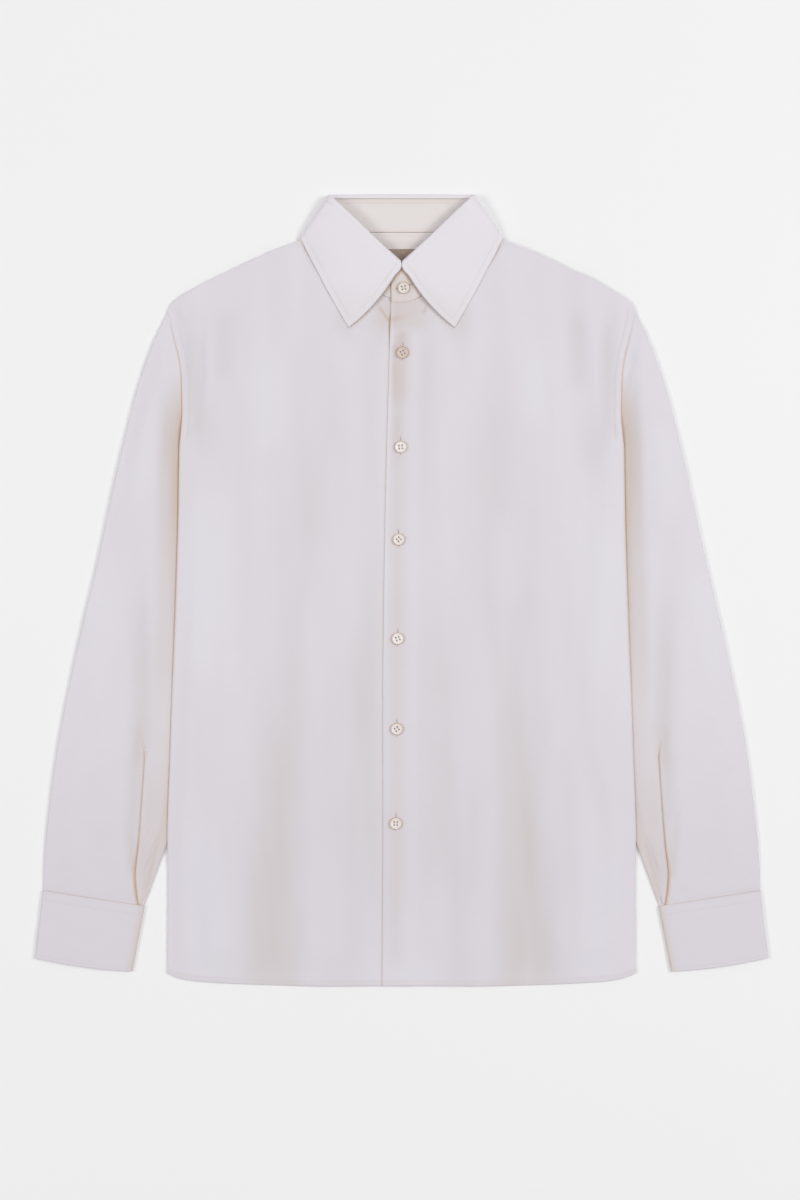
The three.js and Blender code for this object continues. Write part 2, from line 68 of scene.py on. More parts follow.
# ---- outlines ---------------------------------------------------------------------------------
SIDE = {  # the fronts' side edge, up the side seam and then round the armhole
    "y": [
        -409, -393, -300, -245, -220, -170, -120, -70, -20, 30, 80, 130, 147, 160, 180, 200, 220, 237,
        258, 271, 288,
    ],
    "x": [
        241, 241, 240.6, 241.0, 240.2, 238.2, 236.6, 234.8, 232.9, 231.2, 229.8, 229.1, 228.7, 227.6,
        226.3, 226.4, 227, 228.8, 233.8, 237, 240.8,
    ],
}
HEM = {  # the fronts' lower edge
    "x": [0, 40, 82, 143, 189, 215, 232, 241, 245],
    "y": [-406.4, -406.6, -406.76, -405.2, -403.0, -401.0, -397.2, -393.0, -391.0],
}
NECK = {  # the fronts' neck seam
    "x": [0, 14, 24, 46, 67, 83, 91],
    "y": [302.2, 304.0, 309.0, 328.0, 347.0, 361.0, 366.4],
}
SHOULDER = {  # the shoulders' outline, from the collar to the armhole
    "x": [91, 104, 116, 144, 171, 197, 219, 231, 237.5, 240.8],
    "y": [366.4, 360.6, 356.4, 345, 332, 320, 307.6, 300.4, 294.4, 288],
}
LAP = {  # folded centre edge of the upper front
    "y": [-409, -267, -61, 73, 196, 275, 301],
    "x": [-20.2, -19.2, -19.0, -17.0, -14.0, -11.6, -10.8],
}
SLEEVE_OUTER = {  # the left sleeve's outer edge, t from the armhole to the cuff
    "t": [0, 0.05, 0.14, 0.30, 0.46, 0.62, 0.78, 0.88, 0.95, 1],
    "x": [241, 251.8, 268, 291.3, 312.6, 334.6, 355, 363.4, 367.6, 368.8],
    "y": [288, 265, 222, 131, 32, -62, -166, -230, -276, -308],
}
SLEEVE_INNER = {  # its inner edge
    "t": [0, 0.05, 0.14, 0.30, 0.46, 0.62, 0.78, 0.88, 0.95, 1],
    "x": [228.6, 225.6, 222, 217, 213, 212, 220, 234, 251.4, 265.4],
    "y": [153, 134, 100, 36, -36, -106, -182, -238, -286, -324],
}
# Ends of the left cuff's upper and lower edges, the inner end first.
CUFF = {"top": [(265, -324), (368.8, -308)], "low": [(278, -391.6), (377, -377.6)]}
VENT = {  # edge of the sleeve's folded-over vent, from the cuff up
    "y": [-332, -322, -296, -257, -198, -164, -148, -60, 60],
    "x": [270, 272, 275, 271.4, 267, 264.8, 264, 263, 263],
}

# ---- the collar, from the centre back round to the front --------------------------------------
# Points on the fold along its top, on the seam with the shirt, and on the leaf's edge.
BAND = [
    {"top": (0, 405.6, 2.35), "seam": (0, 369.0, 2.2), "edge": (0, 360, 0.5)},
    {"top": (34, 405.6, 2.35), "seam": (40, 369.2, 2.2), "edge": (45, 360, 0.5)},
    {"top": (58, 405.4, 2.5), "seam": (72, 369.4, 2.3), "edge": (80, 360, 0.5)},
    {"top": (69.4, 405.4, 3.8), "seam": (86, 369.6, 2.4), "edge": (95, 360.6, 0.5)},
    {"top": (73.6, 405.0, 6.4), "seam": (91, 369.4, 2.7), "edge": (102.2, 363.2, 1.2)},
    {"top": (74.0, 403.8, 9.2), "seam": (91.4, 368.8, 3.4), "edge": (104.2, 362.4, 3.2)},
    {"top": (71.4, 401.4, 12.0), "seam": (89.8, 367.6, 4.1), "edge": (102.2, 359.4, 4.7)},
    {"top": (64.2, 394.4, 14.4), "seam": (82.8, 360.7, 4.1), "edge": (97.5, 349.5, 4.0)},
    {"top": (48.6, 379.8, 14.6), "seam": (66.8, 346.0, 4.1), "edge": (88, 331.5, 3.6)},
    {"top": (29.6, 361.8, 12.6), "seam": (45.8, 326.5, 4.1), "edge": (75.5, 307.5, 3.5)},
]
# Sections past those: the leaf's ends, which are alike, then the band's lower and upper ends.
FALL_ENDS = [
    {"top": (12.8, 346.8, 10.2), "seam": (24, 308.5, 4.6), "edge": (63.4, 286, 3.5)},
    {"top": (0.5, 335.9, 9.75), "seam": (12, 303, 5.6), "edge": (54.3, 270.5, 3.95)},
]
STAND_LOWER_END = [
    {"top": (12.8, 346.0, 9.3), "seam": (24, 307.4, 3.4)},
    {"top": (2.6, 335.6, 8.8), "seam": (11.4, 301.4, 3.2)},
    {"top": (-5, 333.2, 8.7), "seam": (0, 300.4, 3.1)},
    {"top": (-11.3, 332.2, 8.7), "seam": (-11.3, 301.8, 3.1)},
]
STAND_UPPER_END = [
    {"top": (12.8, 346.0, 9.95), "seam": (24, 307.0, 3.6)},
    {"top": (2.6, 335.6, 10.2), "seam": (11.4, 299.0, 4.1)},
    {"top": (-5, 333.2, 9.8), "seam": (0, 297.0, 4.2)},
    {"top": (-11.3, 332.2, 8.95), "seam": (-11.3, 297.2, 3.95)},
]
# The leaf's turn over the band's top, as distances down the leaf and outwards.
HOOK = [(4.2, -1.4), (0.2, -1.5), (-1.5, -0.9), (-1.9, 0.1), (-1.3, 1.2), (0.4, 1.7), (4.2, 1.85)]

# ---- folds ------------------------------------------------------------------------------------
# Each fold runs from (x0, y0) to (x1, y1), bowing sideways by bow. It is left wide on its left
# side and right wide on its right side, looking along it, and rises by high or sinks where that
# is negative. Its ends fade over the shares fade0 and fade1 of its length.
FOLD_COLUMNS = ("x0", "y0", "x1", "y1", "left", "right", "high", "bow", "fade0", "fade1")
BODY_FOLDS = [
    # broad waves of the fronts
    (-190, -420, -196, 150, 26, 24, 1.5, 4, 0.1, 0.4),
    (-128, -430, -104, 40, 25, 26, -1.9, -7, 0.08, 0.55),
    (-74, -420, -62, 60, 26, 22, 1.2, 5, 0.1, 0.4),
    (-34, -400, -46, 20, 12, 12, -0.5, 3, 0.15, 0.4),
    (-160, -30, -132, 300, 30, 30, 1.3, 4, 0.4, 0.35),
    (-84, 10, -70, 250, 18, 18, -0.8, -4, 0.4, 0.4),
    (-198, 70, -176, 215, 16, 18, -1.0, 6, 0.5, 0.4),
    (-52, 20, -44, 262, 14, 15, 0.8, 0, 0.4, 0.25),
    (196, -420, 206, 150, 24, 26, 1.5, -4, 0.1, 0.4),
    (120, -430, 112, 100, 24, 26, -2.0, 8, 0.08, 0.5),
    (76, -420, 66, 40, 20, 22, 0.9, -3, 0.1, 0.4),
    (56, -360, 46, -150, 9, 10, -0.6, 3, 0.3, 0.5),
    (30, -400, 34, 120, 15, 14, 0.9, 2, 0.1, 0.4),
    (160, -20, 138, 300, 30, 30, 1.3, -4, 0.4, 0.35),
    (92, 0, 78, 240, 18, 18, -0.8, 4, 0.4, 0.4),
    (196, 80, 178, 220, 18, 16, -1.0, -6, 0.5, 0.4),
    (54, 30, 48, 262, 15, 14, 0.8, 0, 0.4, 0.25),
    # creases down the armholes, and drag lines at the underarms
    (-210, 150, -209, 305, 7, 6, -0.9, 3, 0.3, 0.25),
    (-204, 170, -202, 285, 5, 5, 0.5, 3, 0.3, 0.3),
    (-225, 152, -208, 190, 4, 5, -0.8, 1, 0.2, 0.5),
    (-222, 168, -196, 232, 6, 7, 0.5, 3, 0.3, 0.5),
    (210, 150, 209, 305, 6, 7, -0.9, -3, 0.3, 0.25),
    (204, 172, 202, 288, 5, 5, 0.5, -3, 0.3, 0.3),
    (225, 152, 209, 187, 5, 4, -0.8, -1, 0.2, 0.5),
    (221, 166, 197, 226, 7, 6, 0.5, -3, 0.3, 0.5),
    (-233.5, 292, -223, 262, 2.2, 2.2, -0.4, 0, 0.2, 0.4),
    (-229, 296, -218, 266, 2.5, 2.5, 0.4, 0, 0.2, 0.4),
    (233.5, 292, 224, 264, 2.2, 2.2, -0.4, 0, 0.2, 0.4),
    (229, 296, 219, 268, 2.5, 2.5, 0.4, 0, 0.2, 0.4),
    # soft lines from the shoulders and the collar
    (-186, 230, -168, 325, 10, 12, -0.4, 3, 0.4, 0.3),
    (182, 236, 168, 325, 12, 10, -0.4, -3, 0.4, 0.3),
    (-104, 210, -92, 330, 12, 12, -0.5, 0, 0.5, 0.3),
    (100, 200, 92, 330, 12, 12, -0.5, 0, 0.5, 0.3),
    (-62, 226, -54, 268, 7, 9, -0.5, 0, 0.5, 0.1),
    (60, 226, 54, 268, 9, 7, -0.5, 0, 0.5, 0.1),
    # pulls at the neck, by the button and in the trough below it
    (-4, 130, -2, 296, 7, 7, -1.2, 0, 0.45, 0.2),
    (15, 180, 14, 292, 6, 7, 0.8, 0, 0.5, 0.25),
    (-14, 279, 20, 288, 2.4, 3, -0.8, 1, 0.15, 0.5),
    (-12, 283, 18, 293, 2, 2.4, 0.35, 1, 0.2, 0.4),
    (-26, 294, -13, 277, 1.7, 2, -0.9, -0.8, 0.3, 0.1),
    (-29, 288, -15, 272, 2.2, 2.2, 0.35, 0, 0.3, 0.2),
    (26, 294, 21, 283, 1.8, 2.2, -0.7, 0, 0.2, 0.4),
    (-10, 296.4, 21, 297.2, 1, 1, -0.3, 0.4, 0.05, 0.2),
    (-10, 301, 20, 301.6, 1, 1, -0.25, 0.4, 0.05, 0.2),
    (-10, 266, 6, 262, 3, 3, -0.4, 0, 0.3, 0.4),
    (-30, 262, -22, 298, 5, 4, 0.5, 0, 0.4, 0.2),
    # small strains between the buttons
    (3, 150, 46, 132, 6, 6, 0.25, 2, 0.2, 0.5),
    (1, 52, 44, 66, 6, 6, 0.25, -2, 0.2, 0.5),
    (-1, -48, 42, -60, 6, 6, 0.25, 2, 0.2, 0.5),
    (-3, -142, 40, -128, 6, 6, 0.22, -2, 0.2, 0.5),
    (-5, -240, 38, -252, 6, 6, 0.22, 2, 0.2, 0.5),
    # waves that reach the hem
    (-212, -415, -206, -300, 9, 9, -0.5, 0, 0.05, 0.6),
    (-92, -415, -96, -320, 10, 10, 0.5, 0, 0.05, 0.6),
    (160, -415, 154, -290, 10, 10, 0.5, 0, 0.05, 0.6),
    (92, -415, 88, -310, 9, 9, -0.5, 0, 0.05, 0.6),
]
# Painted shade, warmer and duller, where little light gets in, and painted light where high is
# negative; laid out in the same columns, high is a share.
BODY_PAINTED_SHADE = [
    (-134, -430, -102, 120, 27, 24, 0.38, -6, 0.08, 0.7),
    (-131, -400, -124, -150, 15, 15, 0.14, -2, 0.15, 0.6),
    (-112, -120, -84, 180, 16, 14, 0.14, 0, 0.4, 0.4),
    (-105, 20, -106, 280, 15, 15, 0.2, 0, 0.3, 0.3),
    (-60, -430, -34, -240, 20, 20, 0.14, 0, 0.1, 0.5),
    (-44, -330, -40, 70, 26, 18, 0.36, 0, 0.25, 0.5),
    (-32, 60, -30, 290, 12, 10, 0.18, 0, 0.4, 0.2),
    (-66, 120, -78, 260, 17, 15, 0.1, 0, 0.3, 0.4),
    (-116, -420, -106, -300, 10, 14, 0.16, 0, 0.1, 0.4),
    (108, -420, 104, -230, 16, 10, 0.18, 0, 0.1, 0.4),
    (74, -340, 72, -180, 14, 14, 0.16, 0, 0.3, 0.3),
    (-30, -340, -28, 160, 9, 10, 0.14, 0, 0.1, 0.3),
    (-158, -410, -154, -230, 10, 12, 0.14, 0, 0.1, 0.5),
    (132, -430, 84, 120, 24, 26, 0.38, 8, 0.08, 0.7),
    (132, -400, 122, -180, 15, 15, 0.14, 2, 0.15, 0.6),
    (158, -410, 152, -230, 12, 10, 0.2, 0, 0.1, 0.5),
    (134, -70, 132, 130, 12, 14, 0.16, 0, 0.3, 0.3),
    (88, -120, 76, 220, 15, 17, 0.18, 0, 0.4, 0.3),
    (102, 20, 103, 280, 13, 15, 0.15, 0, 0.3, 0.3),
    (54, -420, 50, -200, 12, 14, 0.2, 2, 0.1, 0.5),
    (38, -330, 36, 60, 18, 26, 0.3, 0, 0.25, 0.5),
    (26, 20, 26, 290, 10, 12, 0.2, 0, 0.4, 0.2),
    (-8, -400, -5, 200, 8, 9, 0.2, 0, 0.05, 0.1),
    (-5, 120, -5, 240, 6, 6, 0.36, 0, 0.4, 0.1),
    (-8, 186, -8, 242, 3, 4, 0.3, 0, 0.4, 0.1),
    (0, 246, 1, 272, 6, 6, 0.8, 0, 0.2, 0.4),
    (-8, 236, -7, 256, 3, 3, 0.5, 0, 0.3, 0.3),
    (0, 262, 0, 310, 24, 24, 0.46, 0, 0.35, 0.05),
    (-22, 240, -20, 300, 8, 8, 0.2, 0, 0.5, 0.2),
    (-26, 294, -13, 277, 1.6, 1.6, 0.6, -0.8, 0.3, 0.1),
    (-13, 279, 8, 285, 2.4, 2.4, 0.35, 1, 0.15, 0.5),
    (26, 294, 21, 283, 1.8, 1.8, 0.4, 0, 0.3, 0.4),
    (-199, 120, -200, 215, 14, 12, 0.2, 0, 0.35, 0.5),
    (-211, 140, -214, 290, 10, 9, 0.26, 0, 0.3, 0.3),
    (-184, 205, -180, 300, 12, 12, 0.2, 0, 0.3, 0.3),
    (196, 110, 200, 210, 12, 14, 0.18, 0, 0.35, 0.5),
    (211, 140, 214, 290, 9, 10, 0.28, 0, 0.3, 0.3),
    (184, 195, 180, 300, 12, 12, 0.26, 0, 0.3, 0.3),
    (-60, 250, -56, 300, 14, 12, 0.3, 0, 0.5, 0.3),
    (60, 250, 56, 300, 12, 14, 0.36, 0, 0.5, 0.3),
    (-206, -120, -206, 130, 20, 22, -0.2, 0, 0.35, 0.35),
    (206, -120, 206, 130, 22, 20, -0.2, 0, 0.35, 0.35),
    (-126, 130, -134, 270, 26, 26, -0.12, 0, 0.4, 0.4),
    (134, 150, 136, 270, 20, 20, -0.14, 0, 0.4, 0.4),
    (-50, -100, -52, 90, 9, 9, -0.07, 0, 0.4, 0.4),
    (34, 60, 36, 220, 14, 14, -0.07, 0, 0.4, 0.4),
    (196, -410, 206, -180, 22, 30, -0.2, 0, 0.1, 0.5),
    (-196, -410, -206, -180, 30, 22, -0.2, 0, 0.1, 0.5),
    (-84, -394, 76, -394, 20, 20, -0.12, 0, 0.3, 0.3),
]
# Painted crevice shade, browner still, in the same columns.
BODY_CREVICE_SHADE = [
    (0, 258, 0, 316, 30, 30, 0.12, 0, 0.35, 0.01),
    (0, 184, 0, 270, 7.5, 6.5, 0.2, 0, 0.25, 0.25),
    (-8, 206, -6, 268, 3, 4, 0.07, 0, 0.3, 0.3),
    (-4, -360, -3, 200, 9, 10, 0.07, 0, 0.1, 0.1),
    (-13, 279, 9, 286.5, 2, 2.4, 0.08, 1, 0.1, 0.6),
    (-27, 296, -12.5, 277.5, 0.8, 0.8, 0.3, -0.8, 0.35, 0.05),
    (26, 294, 21.5, 284, 0.9, 0.9, 0.2, 0, 0.3, 0.4),
    (-66, 262, -58, 300, 10, 10, 0.04, 0, 0.4, 0.2),
    (58, 262, 50, 296, 10, 10, 0.05, 0, 0.4, 0.2),
]
# Painted dimming, greyer, down the armholes, the same on both sides.
SIDE_DIMMING = [
    (218, 300, 212, 168, 5, 5, 0.5, -3, 0.15, 0.3),
    (207, 280, 207, 120, 4, 4, 0.35, 0, 0.25, 0.4),
    (182, 300, 180, 200, 10, 10, 0.35, 0, 0.3, 0.4),
]
# The left sleeve's painted shade, and painted light where high is negative; the right one has the same
# ones, a little shifted.
SLEEVE_PAINTED_SHADE = [
    (268, 30, 270, -190, 12, 13, 0.36, 0, 0.45, 0.15),
    (270, -120, 277, -300, 5, 10, 0.34, 0, 0.25, 0.12),
    (284, -215, 277, -300, 4, 2.5, 0.3, 0, 0.3, 0.1),
    (276, -150, 282, -245, 6, 7, 0.2, 0, 0.35, 0.4),
    (267, -318, 249, -250, 2, 2, 0.3, 0, 0.1, 0.3),
    (264, -316, 244, -234, 2, 2, 0.3, 0, 0.1, 0.3),
    (300, 60, 330, -120, 22, 22, -0.1, 0, 0.4, 0.4),
    (268, 200, 282, 60, 16, 16, -0.08, 0, 0.4, 0.4),
]
# Painted shade on the sleeve close to the body's edge, and a little farther out.
SHADE_BESIDE = {
    "y": [-260, -245, -220, -170, -120, -70, -20, 30, 80, 130, 160, 180, 200, 225],
    "near": [0.6, 0.6, 0.55, 0.45, 0.36, 0.38, 0.46, 0.62, 0.9, 1.0, 0.95, 0.8, 0.4, 0.0],
    "broad": [0.1, 0.1, 0.1, 0.0, 0.0, 0.3, 0.4, 0.55, 0.8, 1.0, 0.95, 0.8, 0.4, 0.0],
}
# Folds of the left sleeve; the right one has the same ones, a little shifted.
SLEEVE_FOLDS = [
    (264, -170, 269, 80, 8, 10, -1.7, 4, 0.12, 0.6),
    (282, -160, 284, 40, 9, 12, 0.9, 4, 0.3, 0.6),
    (250, -130, 254, 70, 7, 7, 0.8, 3, 0.3, 0.6),
    (277, -300, 284, -215, 2.2, 3.5, -1.3, 0, 0.1, 0.5),
    (271, -300, 276, -180, 3.5, 3, 0.6, 0, 0.1, 0.4),
    (286, -308, 300, -190, 9, 12, 0.8, -3, 0.1, 0.6),
    (314, -306, 326, -120, 14, 16, -0.5, 4, 0.1, 0.5),
    (338, -306, 340, -170, 12, 12, 0.5, -3, 0.08, 0.6),
    (262, 20, 262, 200, 9, 12, 0.8, 4, 0.5, 0.4),
    (300, -80, 276, 120, 18, 20, -0.7, -5, 0.4, 0.5),
    (322, -120, 292, 80, 14, 16, 0.7, 5, 0.4, 0.5),
    (262, 190, 290, 172, 6, 7, -0.45, 3, 0.3, 0.4),
    (256, 150, 292, 118, 7, 8, 0.4, 3, 0.3, 0.4),
    (252, 240, 262, 180, 7, 8, -0.5, 2, 0.3, 0.4),
    (267, -318, 249, -250, 2, 2.2, -0.6, 1, 0.1, 0.4),
    (264, -316, 244, -234, 2, 2.2, -0.6, 1, 0.1, 0.4),
    (269, -316, 257, -240, 2.4, 2.4, 0.5, 1, 0.1, 0.4),
    (266, -312, 247, -256, 2, 2, 0.45, 1, 0.1, 0.4),
    (272, -320, 366, -305.5, 1.3, 1.6, -0.5, 1.5, 0.08, 0.2),
]


# ---- curves and fields ------------------------------------------------------------------------
def smooth(v):
    """Eases from 0 to 1, and stays there on both sides."""
    v = np.clip(v, 0.0, 1.0)
    return v * v * (3 - 2 * v)


def ramp(v, start, end):
    """Eases from 0 where v is start to 1 where it is end, whichever of the two is greater."""
    return smooth((v - start) / (end - start))


def mound(v, middle, wide):
    """One where v is at the middle, fading over about wide on both sides."""
    return np.exp(-(((v - middle) / wide) ** 2))


def bend(keys, values):
    """A smooth curve through a table's rows, as a function that holds its ends' values beyond them."""
    keys, values = np.asarray(keys, float), np.asarray(values, float)
    slope = np.gradient(values, keys)

    def at(k):
        k = np.clip(k, keys[0], keys[-1])
        i = np.clip(np.searchsorted(keys, k, side="right") - 1, 0, len(keys) - 2)
        step = keys[i + 1] - keys[i]
        s = (k - keys[i]) / step
        start = (2 * s**3 - 3 * s**2 + 1) * values[i] + (s**3 - 2 * s**2 + s) * step * slope[i]
        end = (3 * s**2 - 2 * s**3) * values[i + 1] + (s**3 - s**2) * step * slope[i + 1]
        return start + end

    return at


side_x = bend(SIDE["y"], SIDE["x"])
lap_x = bend(LAP["y"], LAP["x"])
hem_curve = bend(HEM["x"], HEM["y"])
neck_y = bend(NECK["x"], NECK["y"])
shoulder_y = bend(SHOULDER["x"], SHOULDER["y"])
vent_x = bend(VENT["y"], VENT["x"])
inner_x, inner_y = (bend(SLEEVE_INNER["t"], SLEEVE_INNER[k]) for k in "xy")
outer_x, outer_y = (bend(SLEEVE_OUTER["t"], SLEEVE_OUTER[k]) for k in "xy")
tucked_x = bend(SLEEVE_INNER["y"][::-1], SLEEVE_INNER["x"][::-1])


def hem_y(x):
    """The fronts' lower edge."""
    return hem_curve(np.abs(x))


def back_hem_y(x):
    """The back's lower edge, a little above the fronts' hems, which hide it."""
    return hem_y(x) + BACK_HEM_LIFT * (1 - np.abs(x) / HALF_WIDTH)


def top_y(x):
    """The fronts' upper edge: neck seam, then shoulder."""
    x = np.abs(x)
    return np.where(x < NECK_X, neck_y(x), shoulder_y(x))


def folds(x, y, table):
    """The height that a table of folds adds at each point."""
    total = np.zeros_like(x)
    for row in table:
        f = dict(zip(FOLD_COLUMNS, row))
        along = np.array([f["x1"] - f["x0"], f["y1"] - f["y0"]], float)
        length = math.hypot(*along)
        along /= length
        rx, ry = x - f["x0"], y - f["y0"]
        s = (rx * along[0] + ry * along[1]) / length
        off = rx * along[1] - ry * along[0] - f["bow"] * 4 * s * (1 - s)
        wide = np.where(off < 0, f["left"], f["right"])
        ends = smooth(s / f["fade0"]) * smooth((1 - s) / f["fade1"])
        total += f["high"] * ends * np.exp(-((off / wide) ** 2))
    return total


def ripple(x, y, size, seed, waves=7):
    """Gentle uneven waves about one unit high and roughly size apart, the same each time."""
    draw = np.random.default_rng(seed)
    total = np.zeros_like(x)
    for _ in range(waves):
        angle, phase = draw.uniform(0, math.pi), draw.uniform(0, 2 * math.pi)
        pitch = size * draw.uniform(0.7, 1.7)
        total += np.sin(2 * math.pi * (x * math.cos(angle) + y * math.sin(angle)) / pitch + phase)
    return total / math.sqrt(waves)


def streaks(x, y, size, seed):
    """Long upright waves, uneven as in cloth that has hung."""
    return ripple(x + 0.05 * y, 0.11 * y, size, seed, waves=9)


# ---- heights of the body's layers -------------------------------------------------------------
OVER_SLEEVE, OVER_FALL = 2.8, 1.9  # rise of the back over the sleeves, and over the collar's fall
TABLE_GAP = 0.12  # least gap under the lowest layer
DRAPE = 1.87  # usual gap between a front and the back, before its folds
DRAPE_FLOOR = 0.08  # how softly the gap stops short of nothing
COLLAR_PRESS = 0.85  # share of the drape that the collar's leaves press out
LAP_RISE, LAP_THICK = 0.85, 0.9  # of the upper front over the under one, and of its folded edge
LAP_GAPE = 1.2  # how far the upper front's edge stands off above the first button
BEDS = []  # where each button rests on the placket: x, y and height
for number in range(1, 7):
    low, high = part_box(f"button_{number}")
    BEDS.append(((low.x + high.x) / 2 / MM, (low.y + high.y) / 2 / MM, low.z / MM))


def back_under(x, y):
    """Underside of the back: flat on the table, raised over the sleeves and the collar's fall."""
    over_sleeve = ramp(np.abs(x) - tucked_x(y), -34, -10)
    over_sleeve = over_sleeve * ramp(y, UNDERARM_Y + 34, UNDERARM_Y + 4) * ramp(y, -290, -250)
    over_sleeve = over_sleeve * (0.62 + 0.38 * ramp(y, -244, -194))
    over_fall = ramp(y, LABEL["high"], LABEL["high"] + 9)
    return np.maximum(OVER_SLEEVE * over_sleeve, OVER_FALL * over_fall)


def edge_curl(inside, spacing, radius=1.6):
    """How far a layer's edge curls to meet the layer below it at a side seam."""
    k = 1 - np.clip(inside / radius, 0, 1)
    return 0.5 * spacing * (1 - np.sqrt(1 - np.minimum(k, 0.999) ** 2))


def front_under(x, y):
    """Underside of the lower front."""
    from_middle = np.abs(x)
    inside = side_x(y) - from_middle
    outer = ramp(from_middle, 26, 60)
    drape = DRAPE + 0.5 * outer + (1.25 + 0.6 * outer) * folds(x, y, BODY_FOLDS)
    drape = drape + 0.1 * ripple(x, y, 46, 3) + 0.04 * ripple(x, y, 15, 4)
    drape = drape + 0.3 * streaks(x, y, 34, 5) + 0.09 * streaks(x, y, 13, 6)
    drape = 0.5 * (drape + np.sqrt(drape * drape + DRAPE_FLOOR))
    drape = drape * ramp(inside, -2, 22) * (0.3 + 0.7 * ramp(y - hem_y(x), 0, 45))
    under_collar = ramp(y, 256, 282) * ramp(from_middle, 126, 90)
    raised = 0.45 * under_collar * ramp(y, 354, 340)
    drape = drape * (1 - COLLAR_PRESS * under_collar) + raised + 0.1
    for bed_x, bed_y, bed_z in BEDS:
        near = 0.9 * mound(x, bed_x, 10) * mound(y, bed_y, 12)
        seat = bed_z - LAYER - LAP_RISE - PLY / 2 - LAP_THICK / 2
        drape = drape * (1 - near) + near * seat
    side_seam = ramp(y, UNDERARM_Y, UNDERARM_Y - 6)
    return back_under(x, y) + LAYER + drape - side_seam * edge_curl(inside, LAYER)


def lap_lift(x, y):
    """Rise of the upper front where it lies over the under front and its own facing."""
    from_edge = x - lap_x(y)
    lap = LAP_RISE * ramp(x, FACING_EDGE + 4.5, FACING_EDGE - 1.5)
    gape = LAP_GAPE * mound(from_edge, 0, 5) * ramp(y, 238, 272) * ramp(y, 290, 278)
    turned_down = 0.3 * ramp(from_edge, 2.2, 0)
    return lap + gape - turned_down + 0.2 * mound(from_edge, 2.2, 1.5)


def upper_front_under(x, y):
    """Underside of the upper front, which laps over the lower one."""
    return front_under(x, y) + lap_lift(x, y)


# ---- making meshes ----------------------------------------------------------------------------
def new_object(name, points, faces, material, attributes=None):
    """A mesh object from points in millimetres, shaded smooth, with values kept at its points."""
    mesh = bpy.data.meshes.new(name)
    mesh.from_pydata((np.asarray(points) * MM).tolist(), [], faces)
    mesh.validate()
    mesh.update()
    for key, values in (attributes or {}).items():
        kind, field = ("FLOAT_VECTOR", "vector") if np.ndim(values) == 2 else ("FLOAT", "value")
        kept = mesh.attributes.new(key, kind, "POINT")
        kept.data.foreach_set(field, np.asarray(values, np.float32).ravel())
    obj = bpy.data.objects.new(name, mesh)
    bpy.context.scene.collection.objects.link(obj)
    mesh.materials.append(material)
    mesh.polygons.foreach_set("use_smooth", [True] * len(mesh.polygons))
    return obj


def unit(v):
    """Vectors brought to length one."""
    return v / np.maximum(np.linalg.norm(v, axis=-1, keepdims=True), 1e-9)


def grid_normals(grid, ring=False):
    """Directions square to a grid of points."""
    across = np.gradient(grid, axis=1)
    if ring:
        across = (np.roll(grid, -1, axis=1) - np.roll(grid, 1, axis=1)) / 2
    return unit(np.cross(across, np.gradient(grid, axis=0)))


def skin(name, mid, thick, material, attributes=None, ring=False):
    """A thin closed cloth shell about a grid of middle points.

    thick is its thickness at each point, and nothing on the grid's rim, where the faces meet. A
    ring grid closes on itself across its columns and has a rim only at its first and last rows.
    """
    rows, cols = mid.shape[:2]
    half = thick[..., None] / 2 * grid_normals(mid, ring)
    rim = np.zeros((rows, cols), bool)
    rim[[0, -1]] = True
    if not ring:
        rim[:, [0, -1]] = True
    half[rim] = 0
    above = np.arange(rows * cols).reshape(rows, cols)
    below = above.copy()
    below[~rim] = rows * cols + np.arange((~rim).sum())
    points = np.concatenate([(mid + half).reshape(-1, 3), (mid - half)[~rim]])
    wrap = cols if ring else cols - 1
    c0, c1 = np.arange(wrap), (np.arange(wrap) + 1) % cols
    faces = []
    for layer, turn in ((above, 1), (below, -1)):
        corners = [layer[:-1][:, c0], layer[:-1][:, c1], layer[1:][:, c1], layer[1:][:, c0]]
        faces.append(np.stack(corners, axis=-1).reshape(-1, 4)[:, ::turn])
    both = {}
    for key, values in (attributes or {}).items():
        values = np.broadcast_to(values, (rows, cols, *np.shape(values)[2:]))
        both[key] = np.concatenate([values.reshape(rows * cols, *values.shape[2:]), values[~rim]])
    return new_object(name, points, np.concatenate(faces).tolist(), material, both)


def rounded(thickness, *distances):
    """Thickness that rounds off to nothing at the edges, given each point's distances from them."""
    near = np.minimum.reduce([np.broadcast_to(d, thickness.shape) for d in distances])
    k = 1 - np.clip(near / (thickness / 2), 0, 1)
    return thickness * np.sqrt(np.maximum(1 - k * k, 0))


def on_cloth(across, along):
    """Each point's place on the cloth as it was woven, which the twill's ribs follow."""
    across, along = np.broadcast_arrays(across, along)
    return np.stack([across, along, 0 * along], axis=-1) * MM


# Distances from a cut edge at which a grid has points, so that the edge rounds off.
EDGE_STEPS = (0, 0.06, 0.2, 0.4, 0.8, 1.5, 2.6, 4.0, 5.2, 6.4, 7.6, 9.4, 12)


def spaced(length, step, fine=()):
    """Places from 0 to length about step apart, with extra close ones near both ends."""
    inner = [d for d in fine if d < length / 2]
    count = max(2, round((length - 2 * inner[-1]) / step))
    middle = np.linspace(inner[-1], length - inner[-1], count)
    return np.concatenate([inner[:-1], middle, length - np.array(inner[:-1])[::-1]])


def stepped(length, *parts):
    """Places from 0 to length, fine at both ends, with a step of its own up to each part's end."""
    places, start = list(EDGE_STEPS), EDGE_STEPS[-1]
    for end, step in parts:
        places += list(np.linspace(start, end, round((end - start) / step) + 1)[1:])
        start = end
    return np.array(places + [length - d for d in EDGE_STEPS[-2::-1]])


def between(start, end, count):
    """Places evenly from start to end, leaving both out; start and end may be columns."""
    return start + (end - start) * np.linspace(0, 1, count + 2)[1:-1]


